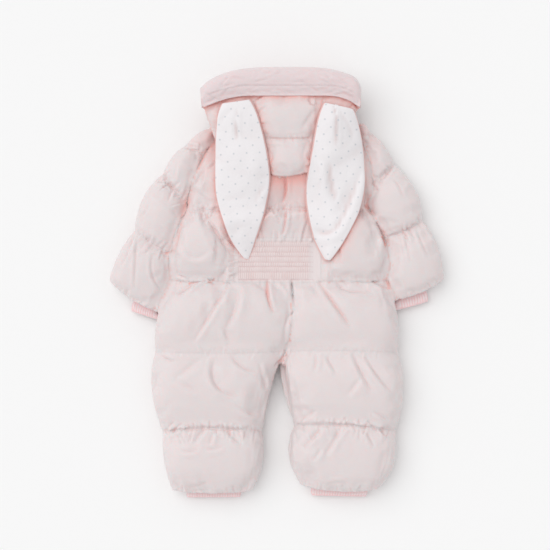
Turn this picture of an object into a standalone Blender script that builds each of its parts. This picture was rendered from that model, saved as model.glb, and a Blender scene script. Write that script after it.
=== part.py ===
"""A padded baby snowsuit laid face down: back up, hood dropped on the back, head towards +Y.

The garment lies on z = 0. Its front panels lie underneath, flat on the surface. Its back panels
lie on them, and both meet at the side seams, at the height SIDE_SEAM_Z. Every table below is in
millimetres; +X is to the right and +Y towards the head.
"""

import math
from collections import namedtuple

import bmesh
import bpy
import numpy as np
from mathutils import Vector
from mathutils.bvhtree import BVHTree

MM = 0.001

# ---------------------------------------------------------------- driving dimensions, millimetres
SEAM_GAP = 0.3  # between pieces that are sewn or lie together
EDGE_GAP = 0.9  # between curved edges that lie side by side
FRONT_EDGE_GAP = 1.0  # what the front of a sleeve keeps clear beyond that, for its longer faces
SIDE_SEAM_Z = 18.0  # height of the side seams: the front panels lie below, the back panels above
PANEL_LEAST = 0.6  # thickness of a back panel at its side seam
QUILT_SEAM = 7.0  # thickness of a back panel where it is quilted down
SEWN_EDGE = 8.0  # thickness of a back panel where it is sewn to its neighbour
FREE_RIM = 26.0  # how far in from a side seam the padding reaches its full height
SEWN_RIM = 13.0  # the same beside a sewn edge
FRONT_RIM = 18.0  # the rounding of the front panels' underside
FRONT_GROOVE = 3.0  # how far a quilting seam lifts the underside off the surface
PUCKER_DEPTH = 1.6  # gathers along a quilting seam
PUCKER_PITCH = 21.0
PUCKER_REACH = 13.0
RIM_STEPS = (1.5, 5.0, 10.0, 17.0)  # where a back panel's faces divide inside its edges
FRONT_STEPS = (1.4, 5.0, 11.0, 18.0)
BODY_GRID = 9.0  # about how far apart the faces divide across the rest of a panel
SLEEVE_GRID = 11.0
FRONT_GRID = 34.0
HOOD_BASE_Z = 48.4  # the hood's panels lie at this height, on the bodice and on the folded layers
ELASTIC_BED = 9.0  # thickness of the bodice under the gathered elastic
NECK_Y = 230.0

# ---------------------------------------------------------------- cut of the panels
# A seam row is a line of stitching from the piece's left edge to its right edge. The belly row
# between two seams says where both edges swell to. bow: how far the row's middle dips towards the
# hem. puff: how high the padding stands above a quilting seam. left_sewn, right_sewn: 1 where the
# edge is sewn to a neighbour on the same level, 0 where it is a free side seam.
Row = namedtuple("Row", "name left_x left_y right_x right_y bow puff left_sewn right_sewn")

BODICE = [
    Row("neck", -82, 230, 119, 230, 0, 0, 1, 1),
    Row("yoke belly", -118, 169, 140, 163, 0, 20, 0, 0),
    Row("yoke seam", -133, 109, 135, 107, -3, 0, 0.5, 0.5),
    Row("waist belly", -154, 56, 163, 58, 0, 29, 0, 0),
    Row("waist seam", -158, 5, 166, 5, 0, 0, 0, 0),
]
LEG_LEFT = [
    Row("waist seam", -158, 5, 22, 5, 0, 0, 0, 1),
    Row("seat belly", -179, -49, 22, -45, 0, 25, 0, 0),
    Row("seat seam", -182, -101, 12, -101, 2, 0, 0, 1),
    Row("thigh belly", -188, -157, -8, -157, 0, 24, 0, 0),
    Row("knee seam", -171, -222, -21, -222, -8, 0, 0, 0),
    Row("shin belly", -169.5, -263, -19, -264, 0, 22, 0, 0),
    Row("hem", -157, -309.5, -35, -310, 4, 0, 0, 0),
]
LEG_RIGHT = [
    Row("waist seam", 22, 5, 166, 5, 0, 0, 1, 0),
    Row("seat belly", 22, -45, 182, -49, 0, 24, 0, 0),
    Row("seat seam", 12, -101, 182, -103, -3, 0, 1, 0),
    Row("thigh belly", 16, -157, 191, -157, 0, 24, 0, 0),
    Row("knee seam", 26, -212, 179, -221, -7, 0, 0, 0),
    Row("shin belly", 17, -255, 177, -270, 0, 22, 0, 0),
    Row("hem", 36, -302, 152, -308, 6, 0, 0, 0),
]
# The legs' inner edges on the front panels; the right one shows beside the back panel.
FRONT_INNER_LEFT = [
    (0, 230), (0, 168), (0, 107), (0, 56), (0, 5), (0, -48),
    (-1, -101), (-8, -157), (-21, -222), (-19, -264), (-35, -310),
]
FRONT_INNER_RIGHT = [
    (1, 230), (1, 168), (1, 107), (1, 56), (1, 5), (1, -48),
    (1, -101), (8, -157), (26, -212), (17, -255), (36, -302),
]
# Sleeves: the outer edge, and the y at which the same row meets the body's side.
Sleeve = namedtuple("Sleeve", "name outer_x outer_y inner_y bow puff sewn")
SLEEVE_LEFT = [
    Sleeve("neck", -97, 233, 229, 0, 0, 1),
    Sleeve("shoulder belly", -117, 227, 211, 0, 14, 0),
    Sleeve("shoulder seam", -139, 206, 193, 1, 0, 1),
    Sleeve("upper arm belly", -158, 190, 158, 0, 17, 0),
    Sleeve("upper arm seam", -170, 165, 121, 3, 0, 0.5),
    Sleeve("elbow belly", -200.5, 131, 83, 0, 18, 0),
    Sleeve("elbow seam", -213, 81, 46, 3, 0, 0),
    Sleeve("forearm belly", -237, 46, 7, 0, 17, 0),
    Sleeve("wrist", -252, 5, -43, 5.5, 0, 0),
]
SLEEVE_RIGHT = [
    Sleeve("neck", 122, 239, 229, 0, 0, 1),
    Sleeve("shoulder belly", 132, 241, 215, 0, 12, 0),
    Sleeve("shoulder seam", 139.5, 229, 200, 1, 0, 1),
    Sleeve("upper arm belly", 163, 206.5, 173, 0, 15, 0),
    Sleeve("upper arm seam", 177, 180, 151, 2, 0, 0.6),
    Sleeve("elbow belly", 211, 139, 110, 0, 18, 0),
    Sleeve("elbow seam", 219, 95, 68, 3, 0, 0),
    Sleeve("forearm belly", 243, 57, 20, 0, 17, 0),
    Sleeve("wrist", 252, 6, -25, 5, 0, 0),
]
# Hood panels, which start at the brim seam.
CROWN = [
    Row("brim seam", -40, 280, 69, 280, 0, 0, 1, 1),
    Row("upper belly", -32, 251, 62, 250, 0, 15, 0, 0),
    Row("quilt seam", -19, 216, 56, 216, 2, 0, 1, 1),
    Row("lower belly", -10, 187, 52, 190, 0, 14, 0, 0),
    Row("fold to the neck", -8, 160, 47, 165, 3, 0, 0.4, 0.4),
]
HOOD_SIDE_LEFT = [
    Row("brim seam", -108, 263, -40, 280, 0, 0, 0, 1),
    Row("upper belly", -105, 249, -33, 255, 0, 12, 0, 0),
    Row("quilt seam", -97, 228, -20, 216, 0, 0, 0, 1),
    Row("lower belly", -82, 196, -11, 190, 0, 10, 0, 0),
    Row("fold to the neck", -52, 166, -9, 162, 0, 0, 0, 0.4),
]
HOOD_SIDE_RIGHT = [
    Row("brim seam", 69, 280, 124, 264, 0, 0, 1, 0),
    Row("upper belly", 63, 252, 117, 249, 0, 12, 0, 0),
    Row("quilt seam", 57, 216, 116, 231, 0, 0, 1, 0),
    Row("lower belly", 53, 190, 104, 199, 0, 10, 0, 0),
    Row("fold to the neck", 48, 167, 84, 172, 0, 0, 0.4, 0),
]
# The brim band, in steps from its left end to its right end.
Brim = namedtuple("Brim", "top_x top_y bottom_x")
BRIM = [
    Brim(-114, 290, -111), Brim(-103, 300, -101), Brim(-88, 308.5, -87), Brim(-67, 316, -66),
    Brim(-40, 320.5, -40), Brim(-1, 322, -1), Brim(53, 321.5, 60), Brim(80, 319, 85),
    Brim(102, 313, 104), Brim(118, 305.5, 116), Brim(126, 291, 125),
]
BRIM_STITCH = 0.68  # the brim's stitched hem line, as a share of its depth
BRIM_PUFF = 21.0
# The hood's folded under-layers beyond the neck: outline from the brim down to the neck.
Layer = namedtuple("Layer", "y left_x right_x")
HOOD_FOLD = [
    Layer(306, -78, 94), Layer(299, -95, 110), Layer(290, -105, 119), Layer(277, -107, 121),
    Layer(263, -105, 119), Layer(251, -102, 114), Layer(242, -98, 112), Layer(233, -95, 112),
]
# Ears, from where they are sewn on down to the tip.
Ear = namedtuple("Ear", "left_x left_y right_x right_y")
EAR_LEFT = [
    Ear(-80, 266, -40, 272), Ear(-87, 244, -29, 250), Ear(-90, 205, -17, 206),
    Ear(-91, 158, -10, 158), Ear(-89, 128, -14, 128), Ear(-81, 100, -20, 100),
    Ear(-71, 72, -30, 71), Ear(-60, 53, -36, 52), Ear(-48, 37, -42, 36),
]
EAR_RIGHT = [
    Ear(71, 268, 113, 258), Ear(62, 244, 120.5, 239), Ear(55, 205, 129, 200),
    Ear(48, 167, 131, 163), Ear(44, 137, 128, 131), Ear(47, 107, 122, 106),
    Ear(53, 79, 106, 74), Ear(61, 56, 92, 51), Ear(72, 36, 79, 34),
]
EAR_LAYER = 2.2  # thickness of each of an ear's two layers

# Gathered elastic at the back waist.
ELASTIC_X = (-55.0, 58.0)
ELASTIC_Y = (6.0, 60.0)
ELASTIC_CHANNELS = 6
ELASTIC_GATHERS = 20
ELASTIC_LOW = 2.2  # thickness at a line of stitching
ELASTIC_HIGH = 6.5  # thickness over a channel

# Main folds of the back: start, middle and end of each trough, its depth and its half width.
Fold = namedtuple("Fold", "name x0 y0 x1 y1 x2 y2 depth width")
FOLDS = [
    Fold("left diagonal", -115, 119, -94, 85, -60, 35, 7, 6),
    Fold("left diagonal, parallel", -73, 67, -68, 61, -64, 55, 3, 4),
    Fold("beside the left raglan", -110, 169, -115, 155, -122, 145, 5, 5),
    Fold("left waist smile", -146, 68, -127, 50, -103, 49, 4, 5),
    Fold("yoke slit", 10, 155, 12, 137, 8, 122, 5, 4),
    Fold("waist ray a", -8, 113, -20, 95, -18, 66, 5, 5),
    Fold("waist ray b", 13, 113, 12, 92, 8, 71, 7, 5),
    Fold("waist ray c", 48, 103, 43, 85, 39, 68, 4, 5),
    Fold("waist ray left", -66, 14, -72, 11, -80, 8, 4, 5),
    Fold("below the elastic", -13, 0, -12, -19, -4, -44, 6, 5),
    Fold("centre back", 27, 0, 30, -25, 25, -46, 3, 5),
    Fold("seat left long", -72, -3, -100, -43, -124, -87, 6, 6),
    Fold("seat left inner", -56, -4, -67, -40, -71, -82, 5, 6),
    Fold("seat left edge", -122, 0, -134, -7, -146, -16, 4, 5),
    Fold("seat right long", 49, 0, 80, -25, 111, -65, 6, 6),
    Fold("seat right b", 88, 0, 104, -10, 143, -10, 4, 5),
    Fold("thigh left inner", -69, -107, -50, -124, -28, -130, 5, 5),
    Fold("thigh left long", -92, -108, -90, -140, -56, -167, 5, 6),
    Fold("thigh left soft", -152, -140, -130, -127, -110, -115, 3, 7),
    Fold("thigh left seam side", -26, -119, -20, -140, -14, -160, 4, 4),
    Fold("thigh right a", 58, -106, 58, -116, 53, -130, 4, 5),
    Fold("thigh right b", 73, -106, 82, -118, 88, -133, 4, 5),
    Fold("thigh right c", 113, -106, 124, -127, 142, -159, 5, 6),
    Fold("thigh right d", 131, -106, 151, -133, 173, -162, 5, 6),
    Fold("thigh right e", 124, -140, 115, -154, 105, -164, 3, 5),
    Fold("thigh right low", 58, -190, 46, -196, 34, -202, 3, 5),
    Fold("shin left b", -106, -216, -115, -225, -122, -238, 4, 5),
    Fold("shin left d", -77, -217, -67, -227, -53, -238, 3, 5),
    Fold("shin right a", 68, -211, 55, -226, 40, -241, 5, 5),
    Fold("shin right b", 98, -211, 85, -232, 72, -254, 5, 5),
    Fold("shin right c", 134, -221, 139, -230, 143, -239, 3, 5),
    Fold("left forearm a", -211, 77, -223, 47, -232, 26, 4, 5),
    Fold("left forearm b", -206, 73, -209, 34, -210, -6, 4, 5),
    Fold("left forearm c", -184, 50, -185, 20, -172, -10, 4, 5),
    Fold("left elbow", -155, 137, -158, 131, -163, 122, 3, 4),
    Fold("right forearm b", 191, 77, 194, 58, 200, 32, 4, 5),
    Fold("right forearm c", 208, 86, 215, 65, 227, 38, 3, 5),
]
HOOD_FOLDS = [
    Fold("crown corner", -19, 278, -26, 272, -33, 266, 4, 4),
    Fold("crown pit", -30, 251, -22, 257, -13, 263, 3, 4),
    Fold("crown right corner", 49, 277, 55, 267, 63, 264, 3, 4),
    Fold("crown right soft", 55, 256, 47, 241, 37, 227, 3, 5),
    Fold("crown lower", 44, 209, 41, 197, 38, 185, 3, 5),
]

# ---------------------------------------------------------------- cuffs
# A cuff starts on a stretch of the hem, from share from_u to to_u of it, and ends on a straight line.
CUFF_Z = 9.0  # height of the cuffs' middle
CUFF_GAP = 0.6  # from the hem, whose faces are longer than the cuff's
CUFF_WALL = 3.0
CUFF_SLOT = 0.8
RIB_HEIGHT = 0.6
Cuff = namedtuple("Cuff", "name from_u to_u end_left_x end_left_y end_right_x end_right_y ribs")
CUFFS = {
    "sleeve_left": Cuff("wrist_cuff_left", 0.52, 0.96, -220, -41.5, -182, -53.5, 11),
    "sleeve_right": Cuff("wrist_cuff_right", 0.04, 0.64, 184, -39.5, 230, -27.5, 12),
    "leg_left": Cuff("ankle_cuff_left", 0.165, 0.86, -136, -322, -53, -321.5, 22),
    "leg_right": Cuff("ankle_cuff_right", 0.12, 0.9, 51, -319, 136, -321, 22),
}
ZIP_WIDTH = 24.0
ZIP_THICKNESS = 3.0
ZIP_BOTTOM_Y = -95.0
ZIP_RECESS_Y = -103.0

# ---------------------------------------------------------------- materials
Finish = namedtuple("Finish", "name colour roughness")
SHELL_PINK = Finish("pale pink shell", (0.80, 0.66, 0.66), 0.45)
COTTON = Finish("white cotton", (0.83, 0.81, 0.82), 0.85)
RIB_PINK = Finish("pink rib knit", (0.80, 0.58, 0.60), 0.9)
ZIP_PINK = Finish("pink zip tape", (0.74, 0.56, 0.58), 0.6)


def material(finish):
    """The Principled material of this finish, made once."""
    made = bpy.data.materials.get(finish.name) or bpy.data.materials.new(finish.name)
    made.use_nodes = True
    shader = made.node_tree.nodes["Principled BSDF"]
    shader.inputs["Base Color"].default_value = (*finish.colour, 1)
    shader.inputs["Roughness"].default_value = finish.roughness
    shader.inputs["Metallic"].default_value = 0
    return made


# ---------------------------------------------------------------- curves of the cut
def swelling_edge(points):
    """The edge through seam ends and, between each two, a belly point: one arc to each section."""
    points = [np.array(p, float) for p in points]

    def at(v):
        section = min(int(v), len(points) // 2 - 1)
        t = v - section
        start, belly, end = points[2 * section:2 * section + 3]
        control = 2 * belly - (start + end) / 2
        return (1 - t) ** 2 * start + 2 * t * (1 - t) * control + t * t * end

    return at


def smooth_edge(points):
    """The Catmull-Rom curve through the points; v counts them."""
    points = [np.array(p, float) for p in points]
    points = [2 * points[0] - points[1], *points, 2 * points[-1] - points[-2]]

    def at(v):
        i = min(int(v), len(points) - 4)
        t = v - i
        a, b, c, d = points[i:i + 4]
        square, cube = 2 * a - 5 * b + 4 * c - d, 3 * b - a - 3 * c + d
        return 0.5 * (2 * b + (c - a) * t + square * t * t + cube * t ** 3)

    return at


def left_edge(rows):
    return swelling_edge([(row.left_x, row.left_y) for row in rows])


def right_edge(rows):
    return swelling_edge([(row.right_x, row.right_y) for row in rows])


def side_line(*edges):
    """x of the body's side at a height y, along one or more edges that follow each other."""
    points = np.array([edge(v) for edge, last in edges for v in np.linspace(0, last, 60 * last + 1)])
    order = np.argsort(points[:, 1], kind="stable")

    def x_at(y):
        return float(np.interp(y, points[order, 1], points[order, 0]))

    return x_at


LEFT_SIDE = side_line((left_edge(BODICE), 2), (left_edge(LEG_LEFT), 3))
RIGHT_SIDE = side_line((right_edge(BODICE), 2), (right_edge(LEG_RIGHT), 3))


def sleeve_edges(rows, side_x, outwards):
    """The sleeve's outer edge, and its inner edge, which keeps clear of the body's side."""
    outer = swelling_edge([(row.outer_x, row.outer_y) for row in rows])
    heights = swelling_edge([(row.inner_y, 0) for row in rows])

    def inner(v):
        y = heights(v)[0]
        return np.array([side_x(y) + outwards * EDGE_GAP, y])

    return outer, inner


def brim_seam_y(x):
    """The line where the hood's panels are sewn to the brim: level in the middle, lower at the ends."""
    left, right, level = -40.0, 69.0, 280.0
    if x < left:
        return level - 16.0 * ((left - x) / 66.0) ** 1.7
    if x > right:
        return level - 17.5 * ((x - right) / 54.0) ** 2.5
    return level


# ---------------------------------------------------------------- heights of the padding
def swell(t):
    """0 at both seams of a section and 1 across its full middle."""
    return (1 - abs(2 * t - 1) ** 2.3) ** (1 / 2.3)


def rim(distance, reach):
    """The quarter round of padding inside an edge."""
    inside = 1 - min(max(distance, 0) / reach, 1)
    return math.sqrt(1 - inside * inside)


def near_line(points, x, y):
    """Distance from (x, y) to the curve through three points, and the place along it from 0 to 1."""
    a, b, c = points
    s = np.linspace(0, 1, 15)[:, None]
    curve = (1 - s) ** 2 * a + 2 * s * (1 - s) * (2 * b - (a + c) / 2) + s * s * c
    distances = np.hypot(curve[:, 0] - x, curve[:, 1] - y)
    nearest = int(distances.argmin())
    return float(distances[nearest]), nearest / 14


def fold_depth(folds, x, y):
    """How far the folds press the cloth down at (x, y), less the small ridge beside each."""
    depth = 0.0
    for fold in folds:
        points = np.array([(fold.x0, fold.y0), (fold.x1, fold.y1), (fold.x2, fold.y2)], float)
        if np.abs(points - (x, y)).max(axis=1).min() > 70:
            continue
        distance, along = near_line(points, x, y)
        taper = math.sin(math.pi * (0.12 + 0.76 * along))
        trough = math.exp(-((distance / fold.width) ** 2))
        ridge = math.exp(-(((distance - 2.1 * fold.width) / fold.width) ** 2))
        depth += fold.depth * taper * (trough - 0.25 * ridge)
    return depth


def elastic_bed(x, y):
    """1 where the bodice is drawn flat under the elastic, falling to 0 outside it."""
    past_x = max(ELASTIC_X[0] - 10 - x, x - ELASTIC_X[1] - 10, 0)
    past_y = max(y - ELASTIC_Y[1] - 12, 0)
    past = math.hypot(past_x, past_y) / 16
    return max(0.0, 1 - past * past * (3 - 2 * past)) if past < 1 else 0.0


def gathers(x, y, to_seam, phase):
    """Small gathers that start at a quilting seam and fade away from it."""
    wave = math.sin(2 * math.pi * (x + 0.35 * y) / PUCKER_PITCH + phase)
    wave += 0.5 * math.sin(2 * math.pi * (x - 0.2 * y) / (PUCKER_PITCH * 0.61) + 2.3 * phase)
    return PUCKER_DEPTH * wave * math.exp(-to_seam / PUCKER_REACH) * min(to_seam / 5, 1)


# ---------------------------------------------------------------- building a panel
def length(across):
    return float(np.hypot(*across))


def mean_span(left, right, sections):
    return np.mean([length(right(s) - left(s)) for s in range(sections + 1)])


def spaced(span, nominal, step, near_left, near_right):
    """Places across a row of this span: fixed distances inside each edge, then about one step apart.

    nominal is the panel's mean span, which settles the number of places for all its rows.
    """
    count = max(2, round((nominal - near_left[-1] - near_right[-1]) / step))
    room = 1.25 * (near_left[-1] + near_right[-1])
    scale = min(1.0, span / room)
    left = [0.0, *[d * scale for d in near_left]]
    right = [0.0, *[d * scale for d in near_right]]
    middle = np.linspace(left[-1], span - right[-1], count + 1)[1:-1]
    return np.array([*left, *middle, *[span - d for d in reversed(right)]]) / span


def sectioned(sections, per_section):
    """Places along a panel: each section's own steps, closer together beside its seams."""
    turns = [0.06 + 0.88 * k / (per_section - 1) for k in range(per_section)]
    steps = [0.5 - 0.5 * math.cos(math.pi * turn) for turn in turns] + [1.0]
    return [0.0, *[s + t for s in range(sections) for t in steps]]


def add_object(name, mesh_maker, finish):
    """A new object whose mesh is made in a bmesh, in millimetres, and stored in metres."""
    mesh = bpy.data.meshes.new(name)
    bm = bmesh.new()
    mesh_maker(bm)
    bmesh.ops.scale(bm, vec=(MM, MM, MM), verts=bm.verts)
    bmesh.ops.recalc_face_normals(bm, faces=bm.faces)
    bm.to_mesh(mesh)
    bm.free()
    mesh.shade_smooth()
    mesh.materials.append(material(finish))
    made = bpy.data.objects.new(name, mesh)
    bpy.context.scene.collection.objects.link(made)
    return made


def grid_faces(bm, rows, split=False):
    """Quads between the rows of vertices, or triangles that all split the quads the same way."""
    for upper, lower in zip(rows, rows[1:]):
        for i in range(len(upper) - 1):
            if split:
                bm.faces.new((upper[i], upper[i + 1], lower[i + 1]))
                bm.faces.new((upper[i], lower[i + 1], lower[i]))
            else:
                bm.faces.new((upper[i], upper[i + 1], lower[i + 1], lower[i]))


def boundary_loop(rows):
    """The vertices round the grid's outside, in order."""
    right = [row[-1] for row in rows[1:-1]]
    left = [row[0] for row in rows[1:-1]]
    return [*rows[0], *right, *reversed(rows[-1]), *reversed(left)]


def close_to_plane(bm, rows, z):
    """Walls from the grid's outside straight down, or up, to a flat face at z."""
    loop = boundary_loop(rows)
    foot = [bm.verts.new((v.co.x, v.co.y, z)) for v in loop]
    for i in range(len(loop)):
        j = (i + 1) % len(loop)
        bm.faces.new((loop[i], loop[j], foot[j], foot[i]))
    bm.faces.new(foot)


def puffed_panel(name, rows, left, right, base_z, folds, per_section, grid=9.0, bed=False, row_shift=None):
    """A padded panel on the plane base_z: one puff to each section between two seam rows."""
    sections = len(rows) // 2
    seams, bellies = rows[0::2], rows[1::2]
    width = mean_span(left, right, sections)
    middles = [(left(s) + right(s)) / 2 for s in range(sections + 1)]
    depth = [length(b - a) for a, b in zip(middles, middles[1:])]

    def point(u, v):
        section = min(int(v), sections - 1)
        t = v - section
        start, end = left(v), right(v)
        place = start + (end - start) * u
        across = end - start
        span = length(across)
        down = np.array([across[1], -across[0]]) / span
        bow = (1 - t) * seams[section].bow + t * seams[section + 1].bow
        place = place + down * bow * 4 * u * (1 - u)
        if row_shift:
            place = place + np.array([0, row_shift(place[0])]) * max(0, 1 - v * 2)
        x, y = place
        left_sewn = (1 - t) * seams[section].left_sewn + t * seams[section + 1].left_sewn
        right_sewn = (1 - t) * seams[section].right_sewn + t * seams[section + 1].right_sewn
        height = QUILT_SEAM + bellies[section].puff * swell(t) * (1 - 0.12 * (2 * u - 1) ** 2)
        to_seam = min(t, 1 - t) * depth[section]
        height += gathers(x, y, to_seam, 1.7 * round(v))
        height -= fold_depth(folds, x, y)
        height = max(height, 3.5)
        if bed:
            height += (ELASTIC_BED - height) * elastic_bed(x, y)
        for sewn, distance in ((left_sewn, u * span), (right_sewn, (1 - u) * span)):
            edge = min(SEWN_EDGE * sewn, height)
            height = edge + (height - edge) * rim(distance, FREE_RIM + (SEWN_RIM - FREE_RIM) * sewn)
        return x, y, base_z + PANEL_LEAST + height

    def make(bm):
        grid_rows = []
        for v in sectioned(sections, per_section):
            shares = spaced(length(right(v) - left(v)), width, grid, RIM_STEPS, RIM_STEPS)
            grid_rows.append([bm.verts.new(point(u, v)) for u in shares])
        grid_faces(bm, grid_rows)
        close_to_plane(bm, grid_rows, base_z)

    return add_object(name, make, SHELL_PINK)


def sleeve_rows(rows, outwards):
    """A sleeve's rows as a panel's: on the left sleeve the body's side is the right edge."""
    if outwards < 0:
        return [Row(r.name, 0, 0, 0, 0, r.bow, r.puff, 0, r.sewn) for r in rows]
    return [Row(r.name, 0, 0, 0, 0, r.bow, r.puff, r.sewn, 0) for r in rows]


def front_panel(name, sections, left, right, bows, zip_side=0):
    """A front panel: flat on the surface, rounded up to its side seams, grooved at its quilting.

    zip_side is the edge, -1 left or 1 right, whose underside is recessed for the zip.
    """
    width = mean_span(left, right, sections)
    recess = ZIP_WIDTH / 2 + SEAM_GAP
    zip_steps = (1.4, 5.0, recess, recess + 0.7, FRONT_STEPS[-1])
    near_left = zip_steps if zip_side < 0 else FRONT_STEPS
    near_right = zip_steps if zip_side > 0 else FRONT_STEPS
    beside_seam = 0.07
    steps = (beside_seam, 0.16, 0.5, 0.84, 1 - beside_seam, 1.0)
    places = [0.0, *[s + t for s in range(sections) for t in steps]]

    def point(u, v):
        section = min(int(v), sections - 1)
        t = v - section
        start, end = left(v), right(v)
        across = end - start
        span = length(across)
        down = np.array([across[1], -across[0]]) / span
        bow = (1 - t) * bows[section] + t * bows[section + 1]
        x, y = start + across * u + down * bow * 4 * u * (1 - u)
        z = FRONT_GROOVE * max(0.0, 1 - min(t, 1 - t) / beside_seam)
        for side, distance in ((-1, u * span), (1, (1 - u) * span)):
            if side == zip_side and y > ZIP_RECESS_Y:
                z = max(z, ZIP_THICKNESS + SEAM_GAP) if distance < recess + 0.1 else z
            else:
                z = SIDE_SEAM_Z - (SIDE_SEAM_Z - z) * rim(distance, FRONT_RIM)
        return x, y, min(z, SIDE_SEAM_Z - 1.2)

    def make(bm):
        grid_rows = []
        for v in places:
            shares = spaced(length(right(v) - left(v)), width, FRONT_GRID, near_left, near_right)
            grid_rows.append([bm.verts.new(point(u, v)) for u in shares])
        grid_faces(bm, grid_rows)
        close_to_plane(bm, grid_rows, SIDE_SEAM_Z)

    return add_object(name, make, SHELL_PINK)


def build_body():
    waist_gap = SEAM_GAP + 0.1
    puffed_panel("back_bodice", BODICE, left_edge(BODICE), right_edge(BODICE),
                 SIDE_SEAM_Z + SEAM_GAP, FOLDS, 10, BODY_GRID, bed=True)
    for name, rows, shift in (
        ("back_leg_left", LEG_LEFT, -SEAM_GAP / 2), ("back_leg_right", LEG_RIGHT, SEAM_GAP / 2),
    ):
        left, right = left_edge(rows), right_edge(rows)
        puffed_panel(name, rows, shifted(left, shift, -waist_gap), shifted(right, shift, -waist_gap),
                     SIDE_SEAM_Z + SEAM_GAP, FOLDS, 10, BODY_GRID)


def shifted(edge, dx, dy):
    """The same edge moved by (dx, dy)."""
    return lambda v: edge(v) + np.array([dx, dy])


def joined(*edges):
    """Edges that follow each other, each with its number of sections, as one edge."""
    def at(v):
        for edge, sections in edges[:-1]:
            if v < sections:
                return edge(v)
            v -= sections
        return edges[-1][0](v)

    return at


def build_front():
    bows_left, bows_right = [
        [row.bow for row in (*BODICE[0:4:2], *leg[0::2])] for leg in (LEG_LEFT, LEG_RIGHT)
    ]
    outer_left = joined((left_edge(BODICE), 2), (left_edge(LEG_LEFT), 3))
    outer_right = joined((right_edge(BODICE), 2), (right_edge(LEG_RIGHT), 3))
    front_panel("front_left", 5, outer_left, swelling_edge(FRONT_INNER_LEFT), bows_left, zip_side=1)
    front_panel("front_right", 5, swelling_edge(FRONT_INNER_RIGHT), outer_right, bows_right, zip_side=-1)


def build_zip():
    """The closed front zip, flat in the recess between the two front panels."""
    middle = (FRONT_INNER_LEFT[0][0] + FRONT_INNER_RIGHT[0][0]) / 2
    top, bottom = NECK_Y, ZIP_BOTTOM_Y

    def make(bm):
        # tape, then the raised coil of teeth along the middle
        half, coil = ZIP_WIDTH / 2, 3.0
        profile = [(-half, 0.8), (-coil, 0.8), (-coil, 0.0), (coil, 0.0), (coil, 0.8), (half, 0.8),
                   (half, ZIP_THICKNESS), (-half, ZIP_THICKNESS)]
        ends = [[bm.verts.new((middle + x, y, z)) for x, z in profile] for y in (top, bottom)]
        for i in range(len(profile)):
            j = (i + 1) % len(profile)
            bm.faces.new((ends[0][i], ends[0][j], ends[1][j], ends[1][i]))
        for end in ends:
            bm.faces.new(end)

    return add_object("front_zip", make, ZIP_PINK)


def build_sleeves():
    for side, rows, side_x, outwards in (
        ("left", SLEEVE_LEFT, LEFT_SIDE, -1), ("right", SLEEVE_RIGHT, RIGHT_SIDE, 1),
    ):
        outer, inner = sleeve_edges(rows, side_x, outwards)
        front_inner = shifted(inner, outwards * FRONT_EDGE_GAP, 0)
        left, right = (outer, inner) if outwards < 0 else (inner, outer)
        front_left, front_right = (outer, front_inner) if outwards < 0 else (front_inner, outer)
        puffed_panel(f"sleeve_{side}_back", sleeve_rows(rows, outwards), left, right,
                     SIDE_SEAM_Z + SEAM_GAP, FOLDS, 6, SLEEVE_GRID)
        front_panel(f"sleeve_{side}_front", 4, front_left, front_right, [row.bow for row in rows[0::2]])


def hem_line(left, right, sections, bow, drop):
    """The last row of a panel, as a function of the share across, moved down by drop."""
    start, end = left(sections), right(sections)
    across = end - start
    down = np.array([across[1], -across[0]]) / np.hypot(*across)
    return lambda u: start + across * u + down * (bow * 4 * u * (1 - u) + drop)


def build_cuff(cuff, hem):
    """A flattened tube of rib knit: ribs raised over a plain inside, and a slit for its mouth."""
    half = CUFF_WALL + CUFF_SLOT / 2
    columns = 2 * cuff.ribs
    end_left = np.array([cuff.end_left_x, cuff.end_left_y])
    end_right = np.array([cuff.end_right_x, cuff.end_right_y])

    def ring(w, outer):
        """One loop of the tube: over the top with its ribs, back along the plain underside."""
        edge = 0.0 if outer else CUFF_WALL
        start = [hem(cuff.from_u + (cuff.to_u - cuff.from_u) * s) for s in (0, 0.5, 1)]
        width = np.hypot(*(start[2] - start[0]))
        low, high = edge / width, 1 - edge / width
        points = []
        for k in range(columns + 1):
            s = low + (high - low) * k / columns
            rib = RIB_HEIGHT * (k % 2)
            round_off = rim(min(s, 1 - s) * width, half)
            z = CUFF_Z + (half * round_off + rib if outer else CUFF_SLOT / 2)
            points.append((s, z))
        for s_down in (0.94, 0.7, 0.3, 0.06):
            s = low + (high - low) * s_down
            z = CUFF_Z - (half * rim(min(s, 1 - s) * width, half) if outer else CUFF_SLOT / 2)
            points.append((s, z))
        on_hem = [hem(cuff.from_u + (cuff.to_u - cuff.from_u) * s) for s, _ in points]
        on_end = [end_left + (end_right - end_left) * s for s, _ in points]
        return [(*((1 - w) * a + w * b), z) for a, b, (_, z) in zip(on_hem, on_end, points)]

    def make(bm):
        rings = [[bm.verts.new(p) for p in ring(w, outer)] for w, outer in ((0, 1), (1, 1), (1, 0), (0, 0))]
        for a, b in zip(rings, [*rings[1:], rings[0]]):
            for i in range(len(a)):
                j = (i + 1) % len(a)
                bm.faces.new((a[i], a[j], b[j], b[i]))

    return add_object(cuff.name, make, RIB_PINK)


def build_cuffs():
    for side, rows, side_x, outwards in (
        ("left", SLEEVE_LEFT, LEFT_SIDE, -1), ("right", SLEEVE_RIGHT, RIGHT_SIDE, 1),
    ):
        outer, inner = sleeve_edges(rows, side_x, outwards)
        left, right = (outer, inner) if outwards < 0 else (inner, outer)
        build_cuff(CUFFS[f"sleeve_{side}"], hem_line(left, right, 4, rows[-1].bow, CUFF_GAP))
    for side, rows in (("left", LEG_LEFT), ("right", LEG_RIGHT)):
        build_cuff(CUFFS[f"leg_{side}"], hem_line(left_edge(rows), right_edge(rows), 3, rows[-1].bow, CUFF_GAP))


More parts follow.
